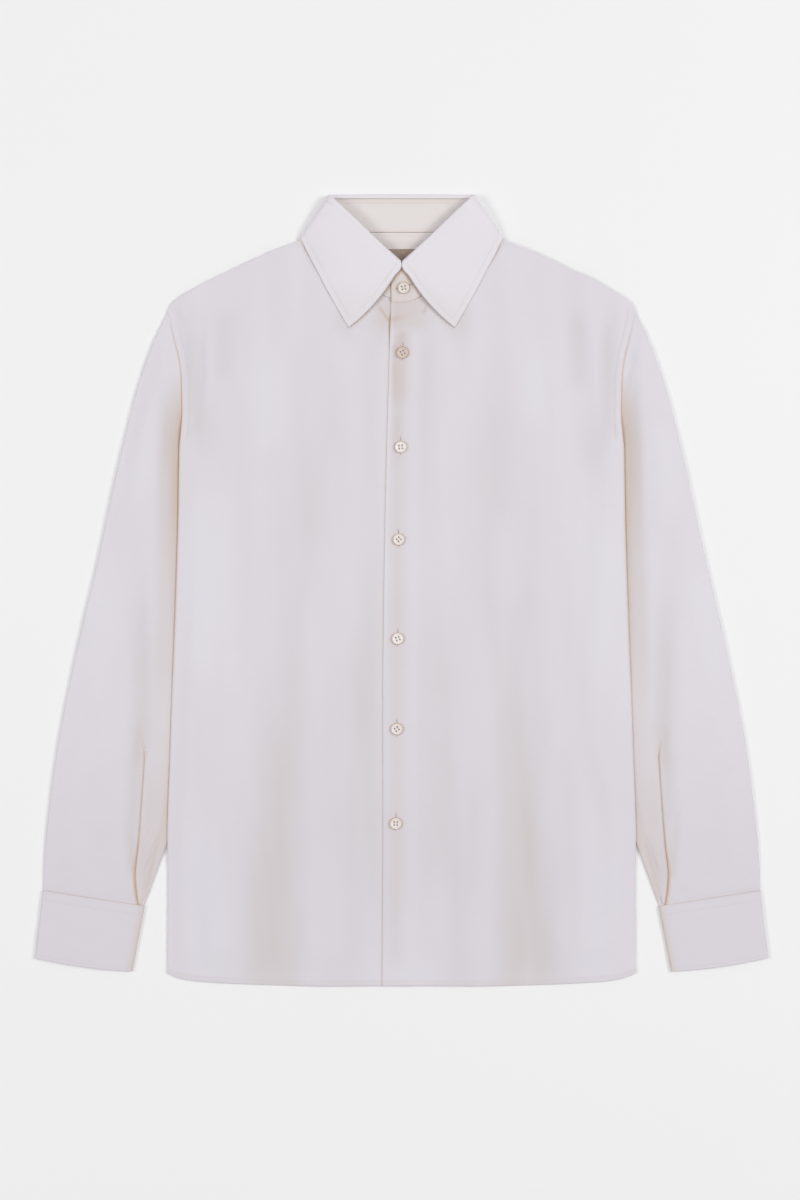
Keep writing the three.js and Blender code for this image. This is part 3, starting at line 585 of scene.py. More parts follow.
# ---- shader helpers ---------------------------------------------------------------------------
class Wire:
    """One output of a node, with arithmetic that adds Math nodes."""

    def __init__(self, nodes, socket):
        self.nodes, self.socket = nodes, socket

    def _maths(self, operation, *values):
        return self.nodes.add("Math", {"operation": operation}, *values)

    def __add__(self, other):
        return self._maths("ADD", self, other)

    def __sub__(self, other):
        return self._maths("SUBTRACT", self, other)

    def __mul__(self, other):
        return self._maths("MULTIPLY", self, other)

    def __truediv__(self, other):
        return self._maths("DIVIDE", self, other)

    def __pow__(self, other):
        return self._maths("POWER", self, other)

    def __rsub__(self, other):
        return self._maths("SUBTRACT", other, self)

    __radd__, __rmul__ = __add__, __mul__

    def sine(self):
        """The value's sine, in radians."""
        return self._maths("SINE", self)

    def size(self):
        """The value without its sign."""
        return (self * self) ** 0.5

    def limited(self):
        """The value kept between 0 and 1."""
        return self.nodes.add("Math", {"operation": "MULTIPLY", "use_clamp": True}, self, 1.0)


class Finish:
    """A material under construction."""

    def __init__(self, name):
        self.material = bpy.data.materials.new(name)
        self.material.use_nodes = True
        self.tree = self.material.node_tree
        self.shader = self.tree.nodes["Principled BSDF"]

    def add(self, kind, settings, *values, out=0, numbered=None, **named):
        """A node of a kind, its settings made first, then the values or links of its sockets."""
        node = self.tree.nodes.new("ShaderNode" + kind)
        for key, value in settings.items():
            setattr(node, key, value)
        sockets = dict(enumerate(values)) | (numbered or {})
        sockets |= {key.replace("_", " "): value for key, value in named.items()}
        for key, value in sockets.items():
            self.feed(node.inputs[key], value)
        return Wire(self, node.outputs[out])

    def feed(self, socket, value):
        """A value or a link for a socket."""
        if isinstance(value, Wire):
            self.tree.links.new(value.socket, socket)
        else:
            socket.default_value = value

    def mix(self, share, a, b):
        """Colours blended by a share."""
        return self.add("Mix", {"data_type": "RGBA"}, out=2, numbered={0: share, 6: a, 7: b})

    def attribute(self, name, out="Fac"):
        """A value that a mesh keeps at its points."""
        return self.add("Attribute", {"attribute_name": name}, out=out)

    def object_point(self):
        """Each point's place on its own piece."""
        return self.add("TexCoord", {}, out="Object")

    def split(self, vector):
        """A vector's three numbers."""
        node = self.add("SeparateXYZ", {}, vector).socket.node
        return [Wire(self, node.outputs[i]) for i in range(3)]

    def noise(self, vector, scale, detail=2.0, rough=0.5):
        """Cloudy unevenness from 0 to 1."""
        settings = {"Vector": vector, "Scale": scale, "Detail": detail, "Roughness": rough}
        return self.add("TexNoise", {}, out="Fac", **settings)

    def bump(self, height, strength, distance):
        """Relief that a height in the finish gives the surface, distance in millimetres."""
        sockets = {"Strength": strength, "Distance": distance * MM, "Height": height}
        self.set(Normal=self.add("Bump", {}, out="Normal", **sockets))

    def set(self, **inputs):
        """Values or links for the shader's own sockets."""
        for key, value in inputs.items():
            self.feed(self.shader.inputs[key.replace("_", " ")], value)


# ---- finishes ---------------------------------------------------------------------------------
RIB_PITCH, PICK_PITCH = 0.85 * MM, 0.55 * MM  # of the twill's ribs and of the threads across them
RIB_SLOPE = 0.52
DIM_SHADE = (0.69, 0.66, 0.715, 1.0)  # painted dimming, greyer, towards the hem and down the armholes
CREVICE_SHADE = (0.585, 0.385, 0.205, 1.0)  # painted shade where two layers meet and hardly any light gets in


def twill(name, tint, shade):
    """Off-white cotton twill: steep diagonal ribs, slubs, and a warmer painted shade down in its folds.

    Values kept at the cloth's points say how much painted shade, painted dimming and painted crevice
    shade it takes, where it is stitched, and where each point was as the cloth was woven.
    """
    f = Finish(name)
    cloth = f.attribute("weave", "Vector")
    stitched = f.attribute("stitched")
    across, along, _ = f.split(cloth)
    slub = f.noise(cloth, 900.0, 3.0)
    strand = f.noise(f.add("Mapping", {}, cloth, Scale=(1.0, 0.12, 1.0)), 2600.0, 1.0)
    drift = f.noise(cloth, 7.0, 3.0, 0.6)
    cloud = f.noise(cloth, 26.0, 3.0, 0.6)
    ribs = ((across + along * RIB_SLOPE + slub * (0.5 * RIB_PITCH)) * (2 * math.pi / RIB_PITCH)).sine()
    picks = (along * (2 * math.pi / PICK_PITCH)).sine()
    # Mixed towards painted dimming, then painted shade with a little drift, random tone, stitch lines, and
    # last painted crevice shade.
    colour = f.mix((f.attribute("painted_dimming") * 0.6).limited(), tint, DIM_SHADE)
    colour = f.mix((f.attribute("painted_shade") + (drift - 0.5) * 0.2).limited(), colour, shade)
    colour = f.mix(((strand - 0.45) * 0.4 + (cloud - 0.5) * 0.15).limited(), colour, shade)
    colour = f.mix((stitched * 0.35).limited(), colour, shade)
    colour = f.mix((f.attribute("painted_crevice") * 0.9).limited(), colour, CREVICE_SHADE)
    f.set(Base_Color=colour, Roughness=0.86 + (slub - 0.5) * 0.12)
    f.bump(ribs * 0.0175 + picks * 0.006 + slub * 0.10 + strand * 0.05 - stitched * 0.35, 0.55, 0.35)
    f.set(Sheen_Weight=0.25, Sheen_Roughness=0.45, Sheen_Tint=(1.0, 0.98, 0.97, 1.0))
    f.set(Specular_IOR_Level=0.25)
    return f.material


def thread_finish(name, light, dark):
    """Cotton sewing thread, uneven along its strands."""
    f = Finish(name)
    strand = f.noise(f.object_point(), 3000.0, 2.0)
    f.set(Base_Color=f.mix(strand, light, dark), Roughness=0.65 + strand * 0.2)
    f.bump(strand, 0.4, 0.1)
    return f.material


HOLE_R, HOLE_OFF = 0.85, 1.6  # radius of a button's holes, and how far they lie off its middle lines
RIM_SHADE_FROM, RIM_SHADE_WIDE = 5.2, 0.9  # where the painted shade at a button's rim starts, and the width over which it deepens
HOLE_SHADE_PAST, HOLE_SHADE_SOFT = 0.25, 0.3  # how far the painted shade reaches round a hole, and how softly it ends
# The rim and hole colours are painted shade at a button's edge and round its holes; the last is painted
# shadow for buttons that lie in shade.
RESIN = {
    "pale": (0.93, 0.92, 0.93, 1.0),
    "cloudy": (0.83, 0.79, 0.775, 1.0),
    "rim": (0.68, 0.43, 0.235, 1.0),
    "hole": (0.66, 0.37, 0.16, 1.0),
    "painted_shadow": (0.50, 0.35, 0.24, 1.0),
}


def button_finish():
    """Cloudy cream resin, with painted shade at its rim and round its holes, and painted shadow on a button
    that lies in shade.
    """
    f = Finish("cream_resin")
    place = f.object_point()
    cloud = f.noise(f.add("Mapping", {}, place, Scale=(1.0, 2.4, 1.0)), 260.0, 4.0, 0.6)
    across, along, _ = f.split(place)
    from_centre = (across * across + along * along) ** 0.5
    rim = ((from_centre - RIM_SHADE_FROM * MM) / (RIM_SHADE_WIDE * MM)).limited()
    aside, ahead = across.size() - HOLE_OFF * MM, along.size() - HOLE_OFF * MM
    from_hole = (aside * aside + ahead * ahead) ** 0.5
    holed = (((HOLE_R + HOLE_SHADE_PAST) * MM - from_hole) / (HOLE_SHADE_SOFT * MM)).limited()
    colour = f.mix(cloud, RESIN["pale"], RESIN["cloudy"])
    # Painted shade at the rim and round the holes, then painted shadow on a button that lies in shade.
    colour = f.mix(rim, colour, RESIN["rim"])
    colour = f.mix(holed * 0.85, colour, RESIN["hole"])
    colour = f.mix(f.attribute("painted_shadow") * (0.5 + cloud * 0.6), colour, RESIN["painted_shadow"])
    f.set(Base_Color=colour, Roughness=0.4 + cloud * 0.15, Coat_Weight=0.25, Coat_Roughness=0.25)
    f.bump(cloud, 0.15, 0.2)
    return f.material


TAPE = {
    "warp": (0.34, 0.25, 0.21, 1.0),
    "weft": (0.44, 0.34, 0.28, 1.0),
    "warp_pitch": 0.6 * MM,
    "weft_pitch": 0.5 * MM,
}


def label_finish():
    """Taupe tape in a plain weave."""
    f = Finish("taupe_woven_tape")
    place = f.object_point()
    across, along, _ = f.split(place)
    ends = (across * (2 * math.pi / TAPE["warp_pitch"])).sine()
    weave = ends * (along * (2 * math.pi / TAPE["weft_pitch"])).sine()
    speck = f.noise(place, 1500.0, 2.0)
    colour = f.mix((weave * 0.3 + speck).limited(), TAPE["warp"], TAPE["weft"])
    f.set(Base_Color=colour, Roughness=0.75 + speck * 0.15)
    f.bump(weave, 0.5, 0.2)
    return f.material


twill_cloth = twill("off_white_twill", (0.752, 0.730, 0.778, 1.0), (0.636, 0.587, 0.582, 1.0))
# The collar's copy is painted lighter, for the light its raised leaves catch; the inside's copy is painted
# warmer, for the shade inside the shirt.
twill_lit_collar = twill("off_white_twill_lit_collar", (0.81, 0.783, 0.825, 1.0), (0.72, 0.67, 0.66, 1.0))
twill_shaded_inside = twill("off_white_twill_shaded_inside", (0.80, 0.76, 0.745, 1.0), (0.72, 0.655, 0.625, 1.0))
thread = thread_finish("cotton_thread", (0.78, 0.735, 0.72, 1.0), (0.68, 0.61, 0.57, 1.0))
# A dark strand along each buttonhole's slit, as painted shade in the opening.
shadow_thread = thread_finish("slit_shadow_strand", (0.50, 0.42, 0.42, 1.0), (0.40, 0.33, 0.33, 1.0))
resin = button_finish()
tape = label_finish()


def keep_piece(obj, slot, *nodes):
    """Fastens a piece to the shirt's one body, in place of the CAD nodes it stands for."""
    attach(obj, ROOT)
    if nodes:
        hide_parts(*nodes)
    return obj


# ---- body panels ------------------------------------------------------------------------------
def band(distance, near, far, soft=0.5):
    """One between two distances from an edge, and nothing outside them."""
    return smooth((distance - near) / soft + 0.5) * smooth((far - distance) / soft + 0.5)


def line(distance, place, wide=0.55):
    """A narrow line at a distance from an edge, as a stitch line presses into cloth."""
    return mound(distance, place, wide)


HEM_STITCH, ARMHOLE_STITCH = 5.2, 7.0  # from the edge
CLOTH_SHADE, SUNK_SHADE = 0.15, 0.07  # painted shade of flat cloth, and more for each millimetre that a fold sinks
HEM_ENDS = 238.0  # how far out the hems' stitching reaches
SHOULDER_SLANT = 0.9  # distance from the slanting shoulder for each millimetre below it
FRONT_TALL, BACK_TALL, YOKE_TALL = 700.0, 660.0, 114.0  # heights that the grids' rows are spaced over
# How strongly the painted shade in the armhole's crevice shows on the way up.
ARMHOLE_SHADE_LINE = {"y": [150, 175, 200, 220, 245, 262, 276], "share": [0.9, 1.0, 0.8, 0.55, 0.5, 0.3, 0.0]}
# The leaves' front edges, which are slightly bowed, from near the tip up to the band.
FRONT_EDGE = [(44.8, 278.6), (35.9, 287.3), (24.8, 300), (14.3, 313.7), (6.4, 324), (0.6, 330.6)]


def front_grid(edge):
    """Plan points of a front from its centre edge to its side, and their distances from each edge."""
    wide, tall = HALF_WIDTH + 14, FRONT_TALL
    u = stepped(wide, (44, 1.4), (wide - 40, 3.1), (wide - 12, 2.2)) / wide
    v = stepped(tall, (600, 3.1), (tall - 12, 1.4)) / tall
    edge_low, edge_high = edge(HEM_LEVEL), edge(NECK_LEVEL)
    low = hem_y(edge_low + (HALF_WIDTH - edge_low) * u)
    high = top_y(edge_high + (HALF_WIDTH - edge_high) * u)
    y = low + (high - low) * v[:, None]
    left, right = edge(y), side_x(y)
    x = left + (right - left) * u
    reach = {"lap": x - left, "side": right - x, "hem": y - low, "top": (high - y) * SHOULDER_SLANT}
    return x, y, reach


def collar_edge_shadow(x, y):
    """How dark the painted shadow of the collar's edge is at a point beside it, from 0 to 1."""
    from_middle = np.abs(x)
    corners = np.array([row["edge"][:2] for row in BAND[5:] + FALL_ENDS] + FRONT_EDGE, float)
    nearest = np.full(x.shape, 99.0)
    for (ax, ay), (bx, by) in zip(corners[:-1], corners[1:]):
        step = np.array([bx - ax, by - ay])
        share = np.clip(((from_middle - ax) * step[0] + (y - ay) * step[1]) / (step @ step), 0, 1)
        gap = np.hypot(from_middle - ax - share * step[0], y - ay - share * step[1])
        nearest = np.minimum(nearest, gap)
    dark = 0.14 + 0.4 * ramp(from_middle, 54, 46) + 0.46 * ramp(from_middle, 30, 10)
    dark = dark + 0.3 * ramp(from_middle, 88, 96)
    return mound(nearest, 0, 1.9) * dark


def puckered(run, x, y, pitch, seed):
    """Small waves, from 0 to 1, that a seam's thread draws up along its run."""
    return 0.5 + 0.5 * np.sin(2 * math.pi * run / pitch + 1.5 * ripple(x, y, 60, seed))


def front_shades(x, y, reach, hemmed, lapped):
    """The painted shade, painted crevice shade and painted dimming of a front at each point."""
    # Painted shade: more where folds sink, the tables' strokes, uneven streaks, and along the hem band.
    painted_shade = np.clip(-folds(x, y, BODY_FOLDS), 0, 2) * SUNK_SHADE + folds(x, y, BODY_PAINTED_SHADE)
    painted_shade = CLOTH_SHADE + painted_shade * (1 + 0.15 * streaks(x, y, 17, 31)) + 0.035 * streaks(x, y, 30, 32)
    painted_shade = painted_shade + 0.22 * hemmed
    # Painted crevice shade along the side edge over the sleeve, down the armhole, beside the collar's edges
    # and at the neck.
    low_side = (0.5 - 0.3 * ramp(y, -60, -120)) * mound(reach["side"], 0, 1.4)
    low_side = low_side * ramp(y, 170, 140) * ramp(y, -290, -250)
    high_side = 0.8 * np.interp(y, ARMHOLE_SHADE_LINE["y"], ARMHOLE_SHADE_LINE["share"])
    high_side = high_side * ramp(y, 146, 156) * mound(reach["side"], 0, 0.9)
    painted_crevices = [low_side, high_side, collar_edge_shadow(x, y), folds(x, y, BODY_CREVICE_SHADE)]
    # The upper front takes a painted highlight along its folded edge; the under front takes painted crevice
    # shade under that edge, most where it gapes above the first button.
    if lapped:
        painted_shade = painted_shade - 0.25 * mound(reach["lap"], 1.8, 1.4) * ramp(y, -160, 0)
    else:
        deep = 0.34 + 0.66 * ramp(y, 250, 270) * ramp(y, 292, 280)
        painted_crevices.append(deep * mound(x - lap_x(y), -0.3, 1.1))
    # Painted dimming towards the hem, and greyer down the armholes.
    painted_dimming = 0.7 * ramp(y, -60, -320) * (1 - 0.45 * ramp(y, -270, -380))
    painted_dimming = painted_dimming + folds(np.abs(x), y, SIDE_DIMMING)
    return {"painted_shade": painted_shade, "painted_crevice": np.maximum.reduce(painted_crevices), "painted_dimming": painted_dimming}


def front(name, node, edge, under, mirror, lapped):
    """One front of the shirt, from its centre edge to the armhole and the side seam."""
    x, y, reach = front_grid(edge)
    x = mirror * x
    armhole = ramp(y, UNDERARM_Y, UNDERARM_Y + 8) * ramp(y, SHOULDER_Y + 8, SHOULDER_Y + 2)
    felled = band(reach["side"], -1, ARMHOLE_STITCH, 1.2) * armhole
    hemmed = band(reach["hem"], -1, HEM_STITCH - 0.6, 0.6)
    turned = band(reach["lap"], -1, 30, 0.8) if lapped else 0.0
    thick = PLY + (DOUBLE - PLY) * np.clip(felled + hemmed, 0, 1) + (LAP_THICK - PLY) * turned
    z = under(x, y) + 0.18 * puckered(x, x, y, 9.0, 11) * band(reach["hem"], -2, 11, 5)
    z = z + 0.22 * puckered(y, x, y, 8.0, 12) * band(reach["side"], -2, 12, 5) * armhole
    z = z - 0.25 * line(reach["side"], ARMHOLE_STITCH, 1.0) * armhole
    mid = np.stack([x, y, z + PLY / 2], axis=-1)
    fields = front_shades(x, y, reach, hemmed, lapped)
    fields["weave"] = on_cloth(x, y)
    fields["stitched"] = line(reach["side"], ARMHOLE_STITCH) * armhole + line(reach["hem"], HEM_STITCH)
    piece = skin(name, mid, rounded(thick, *reach.values()), twill_cloth, fields)
    return keep_piece(piece, "twill", node)


def under_edge(y):
    """The under front's centre edge, which is straight."""
    return -FACING_EDGE + 0 * y


front_right = front("right_front", "front_right", under_edge, front_under, -1, False)
front_left = front("left_front", "front_left", lap_x, upper_front_under, 1, True)


def back():
    """The back below the yoke, flat on the table but for its raised sides."""
    v = spaced(BACK_TALL, 5, EDGE_STEPS) / BACK_TALL
    half = spaced(2 * HALF_WIDTH, 5, EDGE_STEPS) / HALF_WIDTH - 1
    low = back_hem_y(half * HALF_WIDTH)
    y = low + (YOKE_Y - YOKE_SEAM - low) * v[:, None]
    right = side_x(y)
    x = right * half
    inside, hem_gap = right - np.abs(x), y - low
    thick = PLY + (DOUBLE - PLY) * band(hem_gap, -1, HEM_STITCH - 0.6, 0.6)
    z = back_under(x, y) + TABLE_GAP + thick / 2
    z = z + ramp(y, UNDERARM_Y, UNDERARM_Y - 6) * edge_curl(inside, LAYER)
    fields = {"weave": on_cloth(x, y), "painted_shade": 0.0, "stitched": line(hem_gap, HEM_STITCH)}
    thick = rounded(thick, inside, hem_gap, YOKE_Y - y)
    piece = skin("back_panel", np.stack([x, y, z], axis=-1), thick, twill_shaded_inside, fields)
    return keep_piece(piece, "twill", "back_body")


def yoke():
    """The yoke, whose inside shows within the collar."""
    v = spaced(YOKE_TALL, 2.5, EDGE_STEPS[:8]) / YOKE_TALL
    half = spaced(2 * HALF_WIDTH, 3, EDGE_STEPS[:8]) / HALF_WIDTH - 1
    nominal = np.abs(half) * HALF_WIDTH
    neck = BACK_NECK_Y - 0.35 - 2.2 * ramp(nominal, 70, 90)
    high = np.where(nominal < NECK_X, neck, shoulder_y(nominal))
    low = YOKE_Y + YOKE_SEAM
    y = low + (high - low) * v[:, None]
    side = side_x(y)
    x = side * half
    z = back_under(x, y) + TABLE_GAP + PLY / 2 + 0.12 * ripple(x, y, 22, 21) * ramp(y, 350, 340)
    thick = rounded(PLY + 0 * x, side - np.abs(x), y - low, high - y)
    fields = {
        "weave": on_cloth(x, y),
        # painted shade in a band below the neck seam, inside the collar
        "painted_shade": 0.45 * ramp(y, 372, 360) * ramp(y, 330, 350),
        "stitched": line(high - y, 2.4) * (np.abs(x) < 85),
    }
    piece = skin("yoke_panel", np.stack([x, y, z], axis=-1), thick, twill_shaded_inside, fields)
    return keep_piece(piece, "twill", "yoke")


back_body = back()
yoke_piece = yoke()


# ---- sleeves ----------------------------------------------------------------------------------
# Section of the folded vent: places along the ring from the overlap's edge, and heights.
VENT_SECTION = {
    "across": [-9, -6, -3, 0, 3, 5.2, 6.4, 6.8, 6.3, 5, 3, 1, -0.1, -0.6, -0.5, 0.1, 1.2, 3, 6, 9, 12],
    "up": [
        0, 0, 0, 0, 0, 0.03, 0.1, 0.28, 0.44, 0.5, 0.52, 0.52, 0.55, 0.65, 0.85, 1.0, 1.1, 1.1, 0.9,
        0.7, 0.6,
    ],
}
VENT_TOP = -148.0  # where the vent starts to fold over itself, on the way down
VENT_THIN = 0.45  # share of the cloth's thickness pressed out of the folded vent
ROUND_STEPS = np.array([0, 0.12, 0.4, 0.9, 1.6, 2.5, 3.6])  # a grid's places round a pressed edge
RUN_IN, RUN_OUT, RUN_UNDER = 18, 40, 20  # places before and after the vent, and in the lower ply
SLEEVE_ROWS, SLEEVE_LENGTH = 216, 616.0  # rings from the armhole to the cuff, and how far that is
SLEEVE_TAIL = [1.005, 1.01]  # rows that reach on into the cuff
SLEEVE_FLOOR = 0.45  # height of the lower ply's middle
SLEEVE_EDGE, CUFF_EDGE = 0.24, 0.28  # height of a flattened tube's own edges, as a share of the whole
SLEEVE_FULL = {"t": [0, 0.05, 0.2, 0.5, 0.8, 0.94, 1.02], "z": [2.6, 5.4, 6.6, 6.0, 4.4, 2.8, 1.6]}


def vent_place(inner, reach, wide):
    """How far from the inner edge the vent's edge crosses each row, and how far it is folded there."""
    probe = np.linspace(0, 1, 600)
    gap = (inner[:, :1] + reach[:, :1] * probe) - vent_x(inner[:, 1:] + reach[:, 1:] * probe)
    share = probe[np.argmin(np.abs(gap), axis=1)][:, None]
    folded = ramp(inner[:, 1:] + reach[:, 1:] * share, VENT_TOP, VENT_TOP - 24)
    return np.clip(share * wide, 4.3, 0.4 * wide), folded


def sleeve_ring(wide, vent_at, folded):
    """Places round each row's ring, the lift of the vent there, and where the ring is the upper ply."""
    section, rise = np.array(VENT_SECTION["across"]), np.array(VENT_SECTION["up"])
    unfolded = np.linspace(section[0], section[-1], len(section))
    across = unfolded + (section - unfolded) * folded
    room = np.clip((vent_at - ROUND_STEPS[-1] - 0.5) / 9, 0.02, 1)
    across = np.where(across < -1, -1 + (across + 1) * room, across * np.clip(room * 3, 0.3, 1))
    vent = vent_at + across
    first, last = ROUND_STEPS + 0 * wide, wide - ROUND_STEPS[::-1]
    run_in = between(first[:, -1:], vent[:, :1], RUN_IN)
    run_out = between(vent[:, -1:], last[:, :1], RUN_OUT)
    run_under = between(last[:, :1], first[:, -1:], RUN_UNDER)
    upper = np.concatenate([first, run_in, vent, run_out, last], axis=1)
    lower = np.concatenate([last[:, -2::-1], run_under, first[:, :0:-1]], axis=1)
    sinking = rise[-1] * folded * np.linspace(1, 0, RUN_OUT) ** 1.3
    lift = [0 * first, 0 * run_in, rise * folded, sinking, 0 * last, 0 * lower]
    top = np.r_[np.ones(upper.shape[1]), np.zeros(lower.shape[1])][None, :]
    return np.concatenate([upper, lower], axis=1), np.concatenate(lift, axis=1), top


def tube_section(top, from_edge, roundness, edge_up):
    """Height of a flattened tube's plies as a share of the whole, with its edges rounded."""
    k = 1 - np.clip(from_edge / roundness, 0, 1)
    crown = np.sqrt(np.maximum(1 - k * k, 0))
    return np.where(top > 0, edge_up + (1 - edge_up) * crown, edge_up * (1 - crown))


def sleeve_height(x, y, q, wide, full):
    """Height of the sleeve's upper ply over its lower one: pressed flat where the body covers it."""
    clear = x - side_x(y)
    covered = ramp(y, UNDERARM_Y + 20, UNDERARM_Y - 20)
    flat = 0.9 + 1.0 * covered * ramp(y, -300, -260) + 0.75 * ramp(y, 205, 245)
    crease = 0.25 + 0.75 * ramp(wide - q, 0, 30)
    height = flat + (full - flat) * ramp(clear, -0.5, 19.5) ** 0.85 * crease
    height = height * (1 - 0.4 * ramp(y, -190, -235) * ramp(q, 16, 10) * (y > -330))
    beside = ramp(clear, -0.2, 2.4) * (1 - ramp(clear, 6, 20))
    return height + 0.9 * beside * covered * ramp(y, -290, -250)


def sleeve_shades(x, y, q, w, wave, vent_at, side):
    """Painted shade of the sleeve at each point: in its hollows, and in its crevices."""
    out = np.maximum(x - side_x(y), 0)
    uneven = 1 + 0.1 * streaks(x, y, 15, 50 + side)
    near, broad = (np.interp(y, SHADE_BESIDE["y"], SHADE_BESIDE[k]) for k in ("near", "broad"))
    near = near * (0.54 * np.exp(-((out / 9.0) ** 1.5)) + 0.12 * mound(out, 0, 1.4))
    broad = broad * 0.6 * (1 - ramp(out, 14, 27))
    inner_part = ramp(y, -180, -300) * ramp(q - vent_at, 2, -6)
    # Painted shade: in the sleeve's troughs, its table's strokes, broadly beside the body's edge and inside
    # the vent.
    painted_shade = 0.12 + np.clip(-wave, 0, 1.5) * 0.06 + folds(x, y + 2 * side, SLEEVE_PAINTED_SHADE)
    painted_shade = painted_shade + (broad + 0.1 * inner_part) * uneven
    # Painted crevice shade along the vent's folded edge, in drag lines beside it, just above the cuff, at
    # the armhole and close beside the body's edge.
    vent_line = (0.4 + 0.4 * ramp(y, -230, -290)) * ramp(y, -156, -162)
    vent_line = vent_line * mound(q - vent_at, -0.2, 0.9 + 0.8 * ramp(y, -250, -300))
    drag = np.sin(2 * math.pi * (0.86 * x + 0.5 * y) / 5.2 + 2.2 * ripple(x, y, 30, 52))
    beside_vent = ramp(q - vent_at, -1, -9) * ramp(y, -150, -210) * ramp(y, -334, -326)
    beside_vent = beside_vent * (0.13 + 0.05 * drag * ramp(y, -215, -255))
    (_, cuff_low), (_, cuff_high) = CUFF["top"]
    over_cuff = y - (cuff_low + (cuff_high - cuff_low) * w)
    above_cuff = 0.08 * mound(over_cuff, 2.8, 0.7) * ramp(q, 0, 10)
    armhole = np.interp(y, ARMHOLE_SHADE_LINE["y"], ARMHOLE_SHADE_LINE["share"])
    armhole = armhole * ramp(y, 140, 160) * mound(out, 0, 1.15)
    inner_shade = 0.1 * ramp(y, 60, 0) * ramp(out, 24, 10)
    painted_crevices = [vent_line, near * uneven, armhole, beside_vent, above_cuff, inner_shade]
    return painted_shade, np.maximum.reduce(painted_crevices)


def sleeve(word, side):
    """One sleeve as a flattened tube: lower ply, upper ply, and the vent folded over itself."""
    t = np.concatenate([np.linspace(0, 1, SLEEVE_ROWS), SLEEVE_TAIL])
    clip = np.clip(t, 0, 1)
    inner = np.stack([inner_x(clip), inner_y(clip)], axis=-1)
    reach = np.stack([outer_x(clip), outer_y(clip)], axis=-1) - inner
    wide = np.linalg.norm(reach, axis=1)[:, None]
    vent_at, folded = vent_place(inner, reach, wide)
    q, lift, top = sleeve_ring(wide, vent_at, folded)
    w = q / wide
    x = inner[:, :1] + reach[:, :1] * w
    y = inner[:, 1:] + reach[:, 1:] * w - SLEEVE_LENGTH * (t - clip)[:, None]
    armhole_x = side_x(UNDERARM_Y + (SHOULDER_Y - UNDERARM_Y) * np.clip(w, 0, 1)) - 0.7
    x = x + (armhole_x - (inner[0, 0] + reach[0, 0] * w)) * (1 - clip[:, None]) ** 6
    full = np.interp(t, SLEEVE_FULL["t"], SLEEVE_FULL["z"])[:, None]
    height = sleeve_height(x, y, q, wide, full)
    from_edge = np.minimum(q, wide - q)
    wave = folds(x, y + 4 * side, SLEEVE_FOLDS)
    wave = wave + 0.22 * ripple(x, y, 40, 40 + side) + 0.08 * ripple(x, y, 14, 45 + side)
    wave = wave * ramp(x - side_x(y), 1, 7) * ramp(from_edge, 0, 5) * ramp(y, -336, -322)
    section = tube_section(top, from_edge, np.maximum(height / 2, 0.8), SLEEVE_EDGE)
    z = np.maximum(SLEEVE_FLOOR + height * section + (wave + lift) * top, SLEEVE_FLOOR)
    painted_shade, painted_crevice = sleeve_shades(x, y, q, w, wave, vent_at, side)
    run = np.r_[0, np.cumsum(np.linalg.norm(np.diff(inner + reach / 2, axis=0), axis=1))][:, None]
    fields = {
        "weave": on_cloth(q, run),
        # painted shade and painted crevice shade on the upper ply, and painted dimming towards the cuff
        "painted_shade": painted_shade * top + 0.2 * (1 - top),
        "painted_crevice": painted_crevice * top,
        "painted_dimming": ramp(y, -90, -310),
    }
    thick = PLY * (1 - VENT_THIN * folded * top * ramp(np.abs(q - vent_at - 3), 15, 10))
    mid = np.stack([side * x, y, z], axis=-1)
    piece = skin(word + "_sleeve", mid, thick, twill_cloth, fields, ring=True)
    return keep_piece(piece, "twill", "sleeve_" + word)


CUFF_LENGTH, CUFF_WIDE = 69.0, 105.0
CUFF_BOW = 8.0  # four times the sag of a cuff's lower edge
CUFF_FLOOR, CUFF_FULL, CUFF_SWELL = 0.7, 2.5, 0.8  # lower ply's height, the cuff's own and its middle's
CUFF_STITCHES = (3.0, 9.5, CUFF_LENGTH - 3.2)  # rows pressed in, from the top edge; the last two show


def cuff_plan(w, t, side):
    """Plan point of a cuff: w across from its inner edge, t down from its top edge."""
    (ax, ay), (bx, by) = CUFF["top"]
    (cx, cy), (dx, dy) = CUFF["low"]
    x = (ax + (bx - ax) * w) * (1 - t) + (cx + (dx - cx) * w) * t
    y = (ay + (by - ay) * w) * (1 - t) + (cy + (dy - cy) * w) * t
    return side * x, y - CUFF_BOW * t * w * (1 - w)


